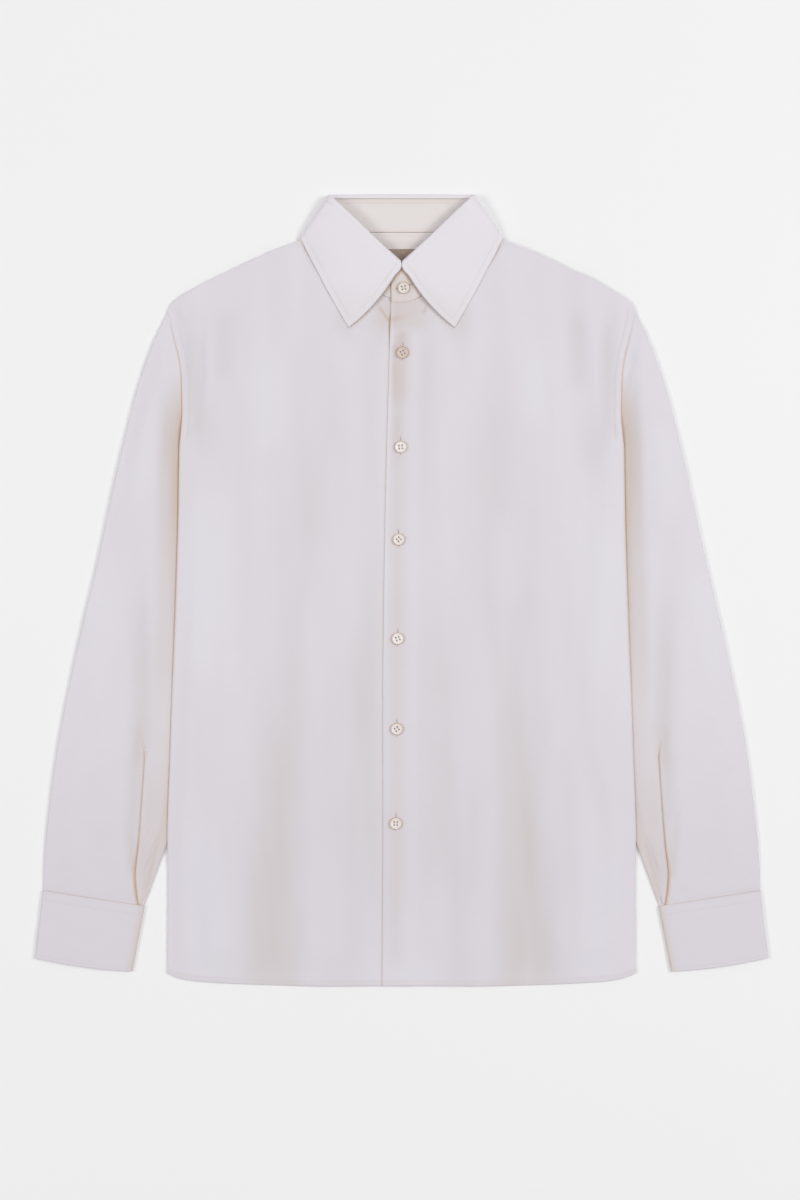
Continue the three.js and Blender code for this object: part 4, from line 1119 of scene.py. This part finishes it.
def cuff(word, side):
    """A barrel cuff pressed flat: a ring of double cloth round the sleeve's end."""
    t = spaced(CUFF_LENGTH, 1.6, EDGE_STEPS[:9])[:, None] / CUFF_LENGTH
    across = between(ROUND_STEPS[-1], CUFF_WIDE - ROUND_STEPS[-1], 42)
    upper = np.concatenate([ROUND_STEPS, across, CUFF_WIDE - ROUND_STEPS[::-1]])
    lower = np.concatenate([upper[-2:-8:-1], between(CUFF_WIDE - 4, 4, 18), upper[6:0:-1]])
    q = np.concatenate([upper, lower])[None, :]
    top = np.r_[np.ones(len(upper)), np.zeros(len(lower))][None, :]
    w = q / CUFF_WIDE
    x, y = cuff_plan(w, t, side)
    down = t * CUFF_LENGTH + 0 * x
    height = CUFF_FULL + CUFF_SWELL * np.sin(math.pi * w) + 0.12 * ripple(x, y, 34, 60 + side)
    section = tube_section(top, np.minimum(q, CUFF_WIDE - q), 1.9, CUFF_EDGE)
    dip = sum(line(down, place, 0.9) for place in CUFF_STITCHES)
    z = CUFF_FLOOR + height * section - 0.2 * top * dip
    # Painted crevice shade along the cuff's top edge, where the sleeve goes in, and along its inner edge;
    # the cuff also takes even painted shade and painted dimming.
    at_top, at_inner = 0.45 * mound(down, 0, 0.7), 0.3 * np.exp(-((q / 4.5) ** 1.5))
    fields = {
        "weave": on_cloth(q, down),
        "painted_shade": 0.2,
        "painted_crevice": np.maximum(at_top, at_inner) * top,
        "stitched": sum(line(down, place) for place in CUFF_STITCHES[1:]),
        "painted_dimming": 0.75,
    }
    thick = rounded(DOUBLE + 0 * z, down, CUFF_LENGTH - down)
    piece = skin(word + "_cuff", np.stack([x, y, z], axis=-1), thick, twill_cloth, fields, ring=True)
    return keep_piece(piece, "twill", "cuff_" + word)


SIDES = (("left", 1), ("right", -1))
sleeves = {word: sleeve(word, side) for word, side in SIDES}
cuffs = {word: cuff(word, side) for word, side in SIDES}


# ---- collar -----------------------------------------------------------------------------------
FALL_STITCH = 6.5  # stitching in from the leaves' edges
STAND_STITCH, TOP_STITCH = 2.2, 3.0  # stitching in from the band's seam, and from its top edge
STAND_TALL, STAND_THICK = 34.0, 1.0  # of the band
FALL_THICK, HOOK_ROWS = 1.2, 22  # of a leaf, and the rows of its turn over the band
TIP_BOW, BOW_WAY = 4.2, (0.73, 0.68)  # how far the leaves' front edges bow, and which way
LEAF_STEPS = (0, 0.004, 0.01, 0.02, 0.035)  # shares of a leaf's depth at which it has rows at its edges
LEAF_SECTIONS = 11  # smooth sections of a leaf to each one in the tables
DRAWN_IN = 2.0  # how far the leaves are drawn together at the neck
CLEAR_OF_HOOK = 9.0  # how far down a leaf its own stitching starts


def sections(right_end, left_end, keys):
    """Band sections from the wearer's right end round the back to the left end, as arrays."""
    right = right_end[::-1] + BAND[:0:-1]
    mirrored = [{k: (-row[k][0], *row[k][1:]) for k in keys} for row in right]
    return {k: np.array([row[k] for row in mirrored + BAND + left_end], float) for k in keys}


def smooth_rows(table, per=9):
    """The same sections with smooth ones between them."""
    count = len(table)
    places = np.linspace(0, count - 1, (count - 1) * per + 1)
    return np.stack([bend(np.arange(count), table[:, k])(places) for k in range(3)], axis=-1)


def line_at(points, measure, value):
    """The point where a measure that falls or rises along a row of points has a value."""
    order = np.argsort(measure)
    return np.array([np.interp(value, measure[order], points[order, k]) for k in range(3)])


def collar_stand():
    """The band that stands up round the neck, and the line of stitching along its seam."""
    rows = sections(STAND_LOWER_END, STAND_UPPER_END, ("top", "seam"))
    top, seam = smooth_rows(rows["top"]), smooth_rows(rows["seam"])
    k = spaced(STAND_TALL, 1.5, EDGE_STEPS[:7]) / STAND_TALL
    mid = top[:, None] + (seam - top)[:, None] * k[None, :, None]
    run = np.cumsum(np.r_[0, np.linalg.norm(np.diff((top + seam) / 2, axis=0), axis=1)])[:, None]
    down = np.linalg.norm(seam - top, axis=1)[:, None] * k
    up, from_end = down[:, -1:] - down, np.minimum(run, run[-1] - run)
    front_part = ramp(np.abs(run - run[-1] / 2), 150, 180)
    # Painted shade on the band: the collar's shadow over its front, thin lines down its inside below the
    # leaf's turn, and crevices at its seam and ends; its front is also dimmed.
    inside = (1 - front_part) * (0.2 * line(down, TOP_STITCH, 0.7) + 0.16 * line(down, 6.2, 0.7))
    at_seam = (0.35 - 0.1 * front_part) * line(up, 0, 1.0)
    painted_crevices = [collar_edge_shadow(mid[..., 0], mid[..., 1]) * front_part, inside + at_seam]
    painted_crevices.append(0.5 * mound(from_end, 0, 1.0) + 0 * down)
    fields = {
        "weave": on_cloth(run, down),
        "painted_shade": 0.15 + 0.22 * front_part + 0.16 * mound(down, 4, 5) * (1 - front_part),
        "stitched": line(up, STAND_STITCH) + line(down, TOP_STITCH),
        "painted_crevice": np.maximum.reduce(painted_crevices) + 0.07 * front_part,
        "painted_dimming": 0.9 * front_part,
    }
    thick = rounded(STAND_THICK + 0 * down, from_end, down, up)
    piece = skin("collar_band", mid, thick, twill_shaded_inside, fields)
    sewn = np.array([line_at(mid[r], up[r], STAND_STITCH) for r in range(len(mid))])
    return keep_piece(piece, "twill", "collar_stand"), [sewn[3:-3, :2]]


def turned_over(top, down, out, from_end):
    """The leaf's tight turn over the band's top edge, and how far each row of it can be drawn in."""
    places = np.linspace(0, len(HOOK) - 1, HOOK_ROWS)
    along, off = (bend(range(len(HOOK)), column)(places) for column in zip(*HOOK))
    grip = 1 + 0.85 * ramp(from_end, 1.8, 0.8)
    hook = top[:, None] + down[:, None] * along[None, :, None]
    hook = hook + out[:, None] * (off[None, :] * grip[:, None])[..., None]
    at_back = ramp(from_end, 6.5, 8.5)[:, None] * (along > 0)
    hook = hook - down[:, None] * (at_back * 0.5 * along * (off < 0)[None, :])[..., None]
    return hook, (ramp(along, -1.5, 1.5) * (off > 0))[None, :]


def collar_fall():
    """The collar's leaf, turned over the band, and the lines of stitching inside its edges."""
    rows = sections(FALL_ENDS, FALL_ENDS, ("top", "seam", "edge"))
    top, seam, edge = (smooth_rows(rows[k], LEAF_SECTIONS) for k in ("top", "seam", "edge"))
    place = np.linspace(0, len(rows["top"]) - 1, len(top))
    from_end = np.minimum(place, place[-1] - place)
    down = unit(seam - top)
    out = unit(np.cross(unit(np.gradient(top + seam, axis=0)), down))
    at_end = ramp(from_end, 1, 0)[:, None]
    front_side = ramp(from_end, 7.5, 6)[:, None]
    hook, hook_share = turned_over(top, down, out, from_end)
    k = spaced(1.0, 0.025, LEAF_STEPS)[1:]
    start = hook[:, -1]
    fall = start[:, None] + (edge - start)[:, None] * k[None, :, None]
    bow = TIP_BOW * at_end * 4 * k * (1 - k)
    fall[..., 0] -= np.sign(fall[..., 0]) * bow * BOW_WAY[0]
    fall[..., 1] -= bow * BOW_WAY[1]
    for part, share in ((hook, hook_share), (fall, ramp(k, 0.13, 0.03))):
        aside = np.abs(part[..., 0])
        aside = np.maximum(aside - DRAWN_IN * at_end * share, np.minimum(aside, 0.1))
        part[..., 0] = np.sign(part[..., 0]) * aside
    at_front = (1 - ramp(from_end, 0, 0.9))[:, None]
    sag = 1.5 * ramp(k, 0.12, 0.34) * ramp(k, 1, 0.7) + 0.3 * mound(k, 0.36, 0.12)
    crown = 1.6 * np.sin(math.pi * k) * (1 - at_front) - sag * at_front
    fall[..., 2] += (crown + 0.12 * ripple(fall[..., 0], fall[..., 1], 24, 71)) * front_side
    return finish_fall(np.concatenate([hook, fall], axis=1), front_side)


def finish_fall(mid, front_side):
    """Makes the leaf from its middle points."""
    reach = np.cumsum(np.linalg.norm(np.diff(mid, axis=1, prepend=mid[:, :1]), axis=2), axis=1)
    run = np.cumsum(np.linalg.norm(np.diff(mid, axis=0, prepend=mid[:1]), axis=2), axis=0)
    to_edge, to_front = reach[:, -1:] - reach, np.minimum(run, run[-1:] - run)
    inset, leaf_only = np.minimum(to_edge, to_front), reach > CLEAR_OF_HOOK
    thick = rounded(FALL_THICK - 0.35 * np.exp(-to_front / 3), to_edge, reach, to_front)
    mid[..., 2] -= 0.16 * line(inset, FALL_STITCH, 1.1) * leaf_only * front_side
    fields = {
        "weave": on_cloth(run, reach),
        # painted shade, deeper towards the leaf's points
        "painted_shade": 0.12 + 0.3 * ramp(mid[..., 1], 325, 275),
        "stitched": line(inset, FALL_STITCH) * leaf_only,
    }
    piece = skin("collar_leaf", mid, thick, twill_lit_collar, fields)
    rows = [r for r in range(len(mid)) if to_front[r, -1] > FALL_STITCH]
    columns = np.flatnonzero(leaf_only[2] & (to_edge[2] > FALL_STITCH - 1))
    lines = [[line_at(mid[r], to_edge[r], FALL_STITCH) for r in rows]]
    half = len(mid) // 2
    for part in (slice(0, half), slice(half, None)):
        lines.append([line_at(mid[part, c], to_front[part, c], FALL_STITCH) for c in columns])
    return keep_piece(piece, "twill", "collar_fall"), [np.array(points)[:, :2] for points in lines]


stand_piece, stand_lines = collar_stand()
fall_piece, collar_lines = collar_fall()


def neck_label():
    """The woven label, flat on the yoke inside the collar."""
    half_width, low, high = LABEL["half_width"], LABEL["low"], LABEL["high"]
    across, up = np.linspace(-1, 1, 50) * half_width, np.linspace(low, high, 26)
    y, x = np.meshgrid(up, across, indexing="ij")
    z = back_under(x, y) + PLY + TABLE_GAP + LABEL_LIFT + 0.08 * ripple(x, y, 22, 81)
    thick = rounded(LABEL_THICK + 0 * x, x + half_width, half_width - x, y - low, high - y)
    piece = skin("woven_label", np.stack([x, y, z], axis=-1), thick, tape)
    return keep_piece(piece, "label", "neck_label")


label_piece = neck_label()

# ---- thread: stitches, buttonholes and button shanks ------------------------------------------
STITCH, PITCH, THREAD_R = 2.1, 2.7, 0.16  # length of a stitch, from one to the next, and the thread
STITCH_RISE = np.array([-1.2, 0.5, 0.5, -1.2])  # of its ends and its middle, in radii
MOST_STEP = 0.8  # a stitch is left out where the cloth steps by more
CORD_R, SLIT_R = 0.17, 0.2  # radius of the buttons' and buttonholes' thread, and of the dark strand painted as shade in a slit
RAY_START = 0.2  # metres above or below the table from which a surface is sought


class Surface:
    """Finds the top or the underside of a piece at a plan point."""

    def __init__(self, obj):
        points = [obj.matrix_world @ v.co for v in obj.data.vertices]
        self.tree = BVHTree.FromPolygons(points, [list(p.vertices) for p in obj.data.polygons])

    def height(self, x, y, from_above=True):
        """Height of the top or the underside there, or None beside the piece."""
        way = -1 if from_above else 1
        hit = self.tree.ray_cast((x * MM, y * MM, -way * RAY_START), (0, 0, way))[0]
        return None if hit is None else hit.z / MM

    def lay(self, plan_points, rises):
        """The plan points laid on top with a rise each, or None where one of them misses."""
        heights = [self.height(*point) for point in plan_points]
        if None in heights:
            return None
        return [(*point, z + rise) for point, z, rise in zip(plan_points, heights, rises)]


def ring_faces(start, rings, sides):
    """Faces of a tube made of rings of points that start at a number: its walls, and its two caps."""
    firsts = [start + r * sides for r in range(rings)]
    walls = []
    for a, b in zip(firsts[:-1], firsts[1:]):
        for c in range(sides):
            d = (c + 1) % sides
            walls.append((a + c, a + d, b + d, b + c))
    caps = [tuple(range(start, start + sides))[::-1], tuple(range(firsts[-1], firsts[-1] + sides))]
    return walls, caps


def tube(path, radius, sides=5):
    """Points and faces of a thin round strand along a path, closed at both ends."""
    path = np.asarray(path, float)
    ahead = unit(np.gradient(path, axis=0))
    across = unit(np.cross(ahead, (0.03, 0.05, 1.0)))
    over = np.cross(across, ahead)
    turn = np.linspace(0, 2 * math.pi, sides, endpoint=False)
    ring = across[:, None] * np.cos(turn)[None, :, None] + over[:, None] * np.sin(turn)[None, :, None]
    size = radius * np.ones(len(path))
    size[[0, -1]] *= 0.35
    points = (path[:, None] + ring * size[:, None, None]).reshape(-1, 3)
    walls, caps = ring_faces(0, len(path), sides)
    return points, walls + caps


def strands(name, paths, radius, material, slot):
    """Many strands joined as one piece."""
    points, faces, start = [], [], 0
    for path in paths:
        p, f = tube(path, radius)
        points.append(p)
        faces += [tuple(start + i for i in face) for face in f]
        start += len(p)
    return keep_piece(new_object(name, np.concatenate(points), faces, material), slot)


def stitches(path, surface, from_above=True, sink=0.05):
    """Stitch paths along a plan line, laid on a surface."""
    run = np.r_[0, np.cumsum(np.linalg.norm(np.diff(path, axis=0), axis=1))]
    way = 1 if from_above else -1
    rise = way * (STITCH_RISE * THREAD_R - sink)
    found = []
    for s in np.arange(0.6, run[-1] - STITCH, PITCH):
        places = s + STITCH * np.array([0, 0.25, 0.75, 1])
        xs, ys = np.interp(places, run, path[:, 0]), np.interp(places, run, path[:, 1])
        zs = [surface.height(px, py, from_above) for px, py in zip(xs, ys)]
        if None not in zs and max(zs) - min(zs) <= MOST_STEP:
            found.append(np.stack([xs, ys, np.array(zs) + rise], axis=-1))
    return found


def plan(x, y):
    """A plan line from its columns, one of which may be a single number."""
    return np.stack(np.broadcast_arrays(x, y), axis=-1)


def hem_stitching():
    """Stitching of both fronts' hems, and of the back's hem, which is seen from below."""
    left_x = np.linspace(lap_x(HEM_LEVEL) + 1.5, HEM_ENDS, 200)
    right_x = np.linspace(21, HEM_ENDS, 180)
    back_x = np.linspace(-HEM_ENDS, HEM_ENDS, 400)
    found = stitches(plan(left_x, hem_y(left_x) + HEM_STITCH), Surface(front_left))
    found += stitches(plan(-right_x, hem_y(right_x) + HEM_STITCH), Surface(front_right))
    return found + stitches(plan(back_x, back_hem_y(back_x) + HEM_STITCH), Surface(back_body), False)


def armhole_stitching():
    """Stitching along both armholes."""
    y = np.linspace(UNDERARM_Y + 3, SHOULDER_Y + 6, 120)
    x = side_x(y) - ARMHOLE_STITCH
    return stitches(plan(x, y), Surface(front_left)) + stitches(plan(-x, y), Surface(front_right))


def cuff_stitching():
    """Stitching on both faces of the cuffs."""
    w = np.linspace(0.02, 0.98, 90)
    found = []
    for word, side in SIDES:
        surface = Surface(cuffs[word])
        for place in CUFF_STITCHES[1:]:
            path = plan(*cuff_plan(w, place / CUFF_LENGTH, side))
            for from_above in (True, False):
                found += stitches(path, surface, from_above)
    return found


def collar_stitching():
    """Stitching of the leaves and of the band; behind the neck the leaf's is seen from below."""
    surface = Surface(fall_piece)
    found = []
    for path in collar_lines:
        behind = np.flatnonzero((np.abs(path[:, 0]) < 94) & (path[:, 1] > 361))
        parts = np.split(path, [behind[0], behind[-1] + 1]) if len(behind) else [path]
        for n, part in enumerate(parts):
            found += stitches(part, surface, from_above=n != 1)
    surface = Surface(stand_piece)
    for path in stand_lines:
        found += stitches(path, surface)
    return found


def yoke_stitching():
    """Stitching under the collar's seam, behind the neck."""
    return stitches(plan(np.linspace(-60, 60, 80), BACK_NECK_Y - 2.8), Surface(yoke_piece))


for row in (hem_stitching, armhole_stitching, cuff_stitching, collar_stitching, yoke_stitching):
    strands(row.__name__, row(), THREAD_R, thread, "twill")

# ---- buttons ----------------------------------------------------------------------------------
BUTTON_PROFILE = [  # radius and height of the turned shape, from its back to its middle
    (0.0, 0.0), (4.6, 0.0), (5.5, 0.12), (6.05, 0.55), (6.25, 1.05), (6.15, 1.55), (5.9, 1.95), (5.55, 2.2),
    (5.2, 2.25), (4.85, 2.1), (4.5, 1.85), (4.0, 1.66), (3.4, 1.6), (0.0, 1.56),
]
CORNERS, CUT_THROUGH = ((1, 1), (1, -1), (-1, 1), (-1, -1)), (-1.0, 4.0)  # of the holes' cutter
BUTTONS = [  # the CAD node, its buttonhole's lean from upright, the turn of its holes, and its painted shadow
    ("button_stand", 1.30, 0.2, 0.35),
    ("button_1", 0.05, 0.5, 0.75),
    ("button_2", 0.0, 0.1, 0.1),
    ("button_3", -0.03, 0.75, 0.2),
    ("button_4", 0.02, 0.35, 0.1),
    ("button_5", 0.0, 0.6, 0.25),
    ("button_6", 0.02, 0.0, 0.25),
]
BUTTON_GAP = 0.05  # under a button
STAND_SLOPE, STAND_SHIFT = 0.123, (0, -1.3, -0.16)  # how the band's front tilts and moves its button
HOLE_FROM, HOLE_TO, WORKED_PITCH = -7.6, 10.6, 0.42  # a buttonhole's ends from its button, its stitches
THREADS_ASIDE = (-0.22, 0.06, 0.3)  # where the threads through a pair of holes lie


def turned(profile, sides=56):
    """Points and faces of a shape turned round the Z axis, from its lower middle to its upper one."""
    angle = np.linspace(0, 2 * math.pi, sides, endpoint=False)
    inner = profile[1:-1]
    points = [(0, 0, profile[0][1])]
    points += [(r * math.cos(a), r * math.sin(a), z) for r, z in inner for a in angle]
    points.append((0, 0, profile[-1][1]))
    faces = []
    for c in range(sides):
        d = (c + 1) % sides
        faces.append((0, 1 + d, 1 + c))
        for r in range(len(inner) - 1):
            a, b = 1 + r * sides, 1 + (r + 1) * sides
            faces.append((a + c, a + d, b + d, b + c))
        top = 1 + (len(inner) - 1) * sides
        faces.append((top + c, top + d, len(points) - 1))
    return points, faces


def cut_holes(obj, radius, off, sides=16):
    """Takes four round holes out of a button."""
    points, faces = [], []
    for sx, sy in CORNERS:
        walls, caps = ring_faces(len(points), 2, sides)
        faces += caps + walls
        for z in CUT_THROUGH:
            for a in np.linspace(0, 2 * math.pi, sides, endpoint=False):
                points.append((sx * off + radius * math.cos(a), sy * off + radius * math.sin(a), z))
    cutter = new_object("cutter", points, faces, resin)
    cut = obj.modifiers.new("holes", "BOOLEAN")
    cut.operation, cut.solver, cut.object = "DIFFERENCE", "EXACT", cutter
    mesh = bpy.data.meshes.new_from_object(obj.evaluated_get(bpy.context.evaluated_depsgraph_get()))
    obj.modifiers.clear()
    obj.data = mesh
    bpy.data.objects.remove(cutter)
    mesh.polygons.foreach_set("use_smooth", [True] * len(mesh.polygons))
    mesh.set_sharp_from_angle(angle=math.radians(38))


def button(node, turn, painted_shadow):
    """A four-hole button in the place of its CAD node; gives the threads that hold it."""
    low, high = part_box(node)
    points, faces = turned(BUTTON_PROFILE)
    piece = new_object(node + "_turned", points, faces, resin)
    cut_holes(piece, HOLE_R, HOLE_OFF)
    # Painted shadow on a button that lies in shade.
    tone = piece.data.attributes.new("painted_shadow", "FLOAT", "POINT")
    tone.data.foreach_set("value", [painted_shadow] * len(piece.data.vertices))
    piece.location = Vector(((low.x + high.x) / 2, (low.y + high.y) / 2, low.z + BUTTON_GAP * MM))
    piece.rotation_euler = (0, 0, turn)
    if node == "button_stand":
        piece.location += Vector(STAND_SHIFT) * MM
        piece.rotation_euler.x = STAND_SLOPE
    bpy.context.view_layer.update()
    place = piece.matrix_world.copy()
    keep_piece(piece, "buttons", node)
    paths = []
    for sx in (-1, 1):
        for off in THREADS_ASIDE:
            path = []
            for k in np.linspace(-1, 1, 9):
                z = 1.5 + 0.62 * math.cos(k * math.pi / 2) ** 0.6 if abs(k) < 1 else 0.7
                local = (sx * HOLE_OFF + off, k * HOLE_OFF * 0.98, z + 0.08 * abs(off))
                path.append((place @ (Vector(local) * MM)) / MM)
            paths.append(path)
    return paths


def buttonhole(node, lean, surface):
    """A worked buttonhole: two rows of close short stitches with a bar across each end, and its slit, where
    a dark strand paints the shade.
    """
    low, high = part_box(node)
    centre = np.array([(low.x + high.x) / 2 / MM, (low.y + high.y) / 2 / MM])
    along = np.array([math.sin(lean), math.cos(lean)])
    across = np.array([along[1], -along[0]])
    worked = []
    for s in np.arange(HOLE_FROM, HOLE_TO + 0.01, WORKED_PITCH):
        for way in (-1, 1):
            ends = [centre + along * s + across * way * d for d in (0.2, 0.6, 1.0)]
            worked.append(surface.lay(ends, (0.02, 0.14, -0.08)))
    for s in (HOLE_FROM - 0.5, HOLE_FROM - 0.2, HOLE_TO + 0.2, HOLE_TO + 0.5):
        ends = [centre + along * s + across * d for d in (-1.3, -0.5, 0.5, 1.3)]
        worked.append(surface.lay(ends, (-0.1, 0.14, 0.14, -0.1)))
    places = [centre + along * s for s in np.arange(HOLE_FROM + 0.2, HOLE_TO - 0.19, 0.9)]
    heights = [surface.height(*p) for p in places]
    slit = [(*p, z + 0.12) for p, z in zip(places, heights) if z is not None]
    return [path for path in worked if path], slit


def fasten():
    """Every button with its threads and its buttonhole."""
    placket, stand = Surface(front_left), Surface(stand_piece)
    shanks, worked, slits = [], [], []
    for node, lean, turn, painted_shadow in BUTTONS:
        shanks += button(node, turn, painted_shadow)
        stitched, slit = buttonhole(node, lean, stand if node == "button_stand" else placket)
        worked += stitched
        slits.append(slit)
    strands("button_threads", shanks, CORD_R, thread, "buttons")
    strands("buttonholes", worked, CORD_R, thread, "twill")
    strands("buttonhole_slit_shadows", slits, SLIT_R, shadow_thread, "twill")


fasten()

# ---- table, lights and camera -----------------------------------------------------------------
TABLE_HALF, TABLE_TOP = 6000.0, -0.15
SOFTBOXES = [  # name, place, side, power and colour
    ("overhead_softbox", (0.2, 0.3, 5.0), 2.4, 50.0, (0.985, 0.985, 1.0)),
    ("right_softbox", (3.6, 0.8, 3.4), 1.6, 88.0, (0.985, 0.985, 1.0)),
    ("left_softbox", (-3.8, 0.0, 3.4), 1.8, 70.0, (0.99, 0.985, 1.0)),
]
SKY, SKY_STRENGTH = (1.0, 0.99, 0.985, 1.0), 0.39
DISTANCE, SHOWN_HEIGHT, CENTRE = 3.0, 1.236, (-0.0017, -0.0093)  # of the camera, in metres
SENSOR = 36.0


def table():
    """The pale surface that the shirt lies on."""
    f = Finish("pale_table")
    cloud = f.noise(f.object_point(), 3.0, 2.0)
    f.set(Base_Color=f.mix(cloud, (0.90, 0.90, 0.90, 1.0), (0.91, 0.91, 0.91, 1.0)), Roughness=0.9)
    f.set(Specular_IOR_Level=0.1)
    corners = [(x * TABLE_HALF, y * TABLE_HALF, TABLE_TOP) for x, y in ((-1, -1), (1, -1), (1, 1), (-1, 1))]
    new_object("table", corners, [(0, 1, 2, 3)], f.material)


def softbox(name, place, side, power, colour):
    """A square light that faces the shirt's middle."""
    lamp = bpy.data.lights.new(name, "AREA")
    lamp.shape, lamp.size, lamp.size_y = "RECTANGLE", side, side
    lamp.energy, lamp.color = power, colour
    obj = bpy.data.objects.new(name, lamp)
    obj.location = place
    obj.rotation_euler = (Vector((0, 0, 0)) - Vector(place)).to_track_quat("-Z", "Y").to_euler()
    bpy.context.scene.collection.objects.link(obj)


table()
for row in SOFTBOXES:
    softbox(*row)
scene = bpy.context.scene
scene.world = bpy.data.worlds.new("studio")
scene.world.use_nodes = True
sky = scene.world.node_tree.nodes["Background"]
sky.inputs["Color"].default_value = SKY
sky.inputs["Strength"].default_value = SKY_STRENGTH
scene.view_settings.view_transform = "Standard"

camera = bpy.data.objects.new("camera", bpy.data.cameras.new("camera"))
camera.data.sensor_fit = "VERTICAL"
camera.data.sensor_height = SENSOR
camera.data.lens = SENSOR * DISTANCE / SHOWN_HEIGHT
camera.data.clip_end = 50.0
camera.location = (*CENTRE, DISTANCE)
scene.collection.objects.link(camera)
scene.camera = camera
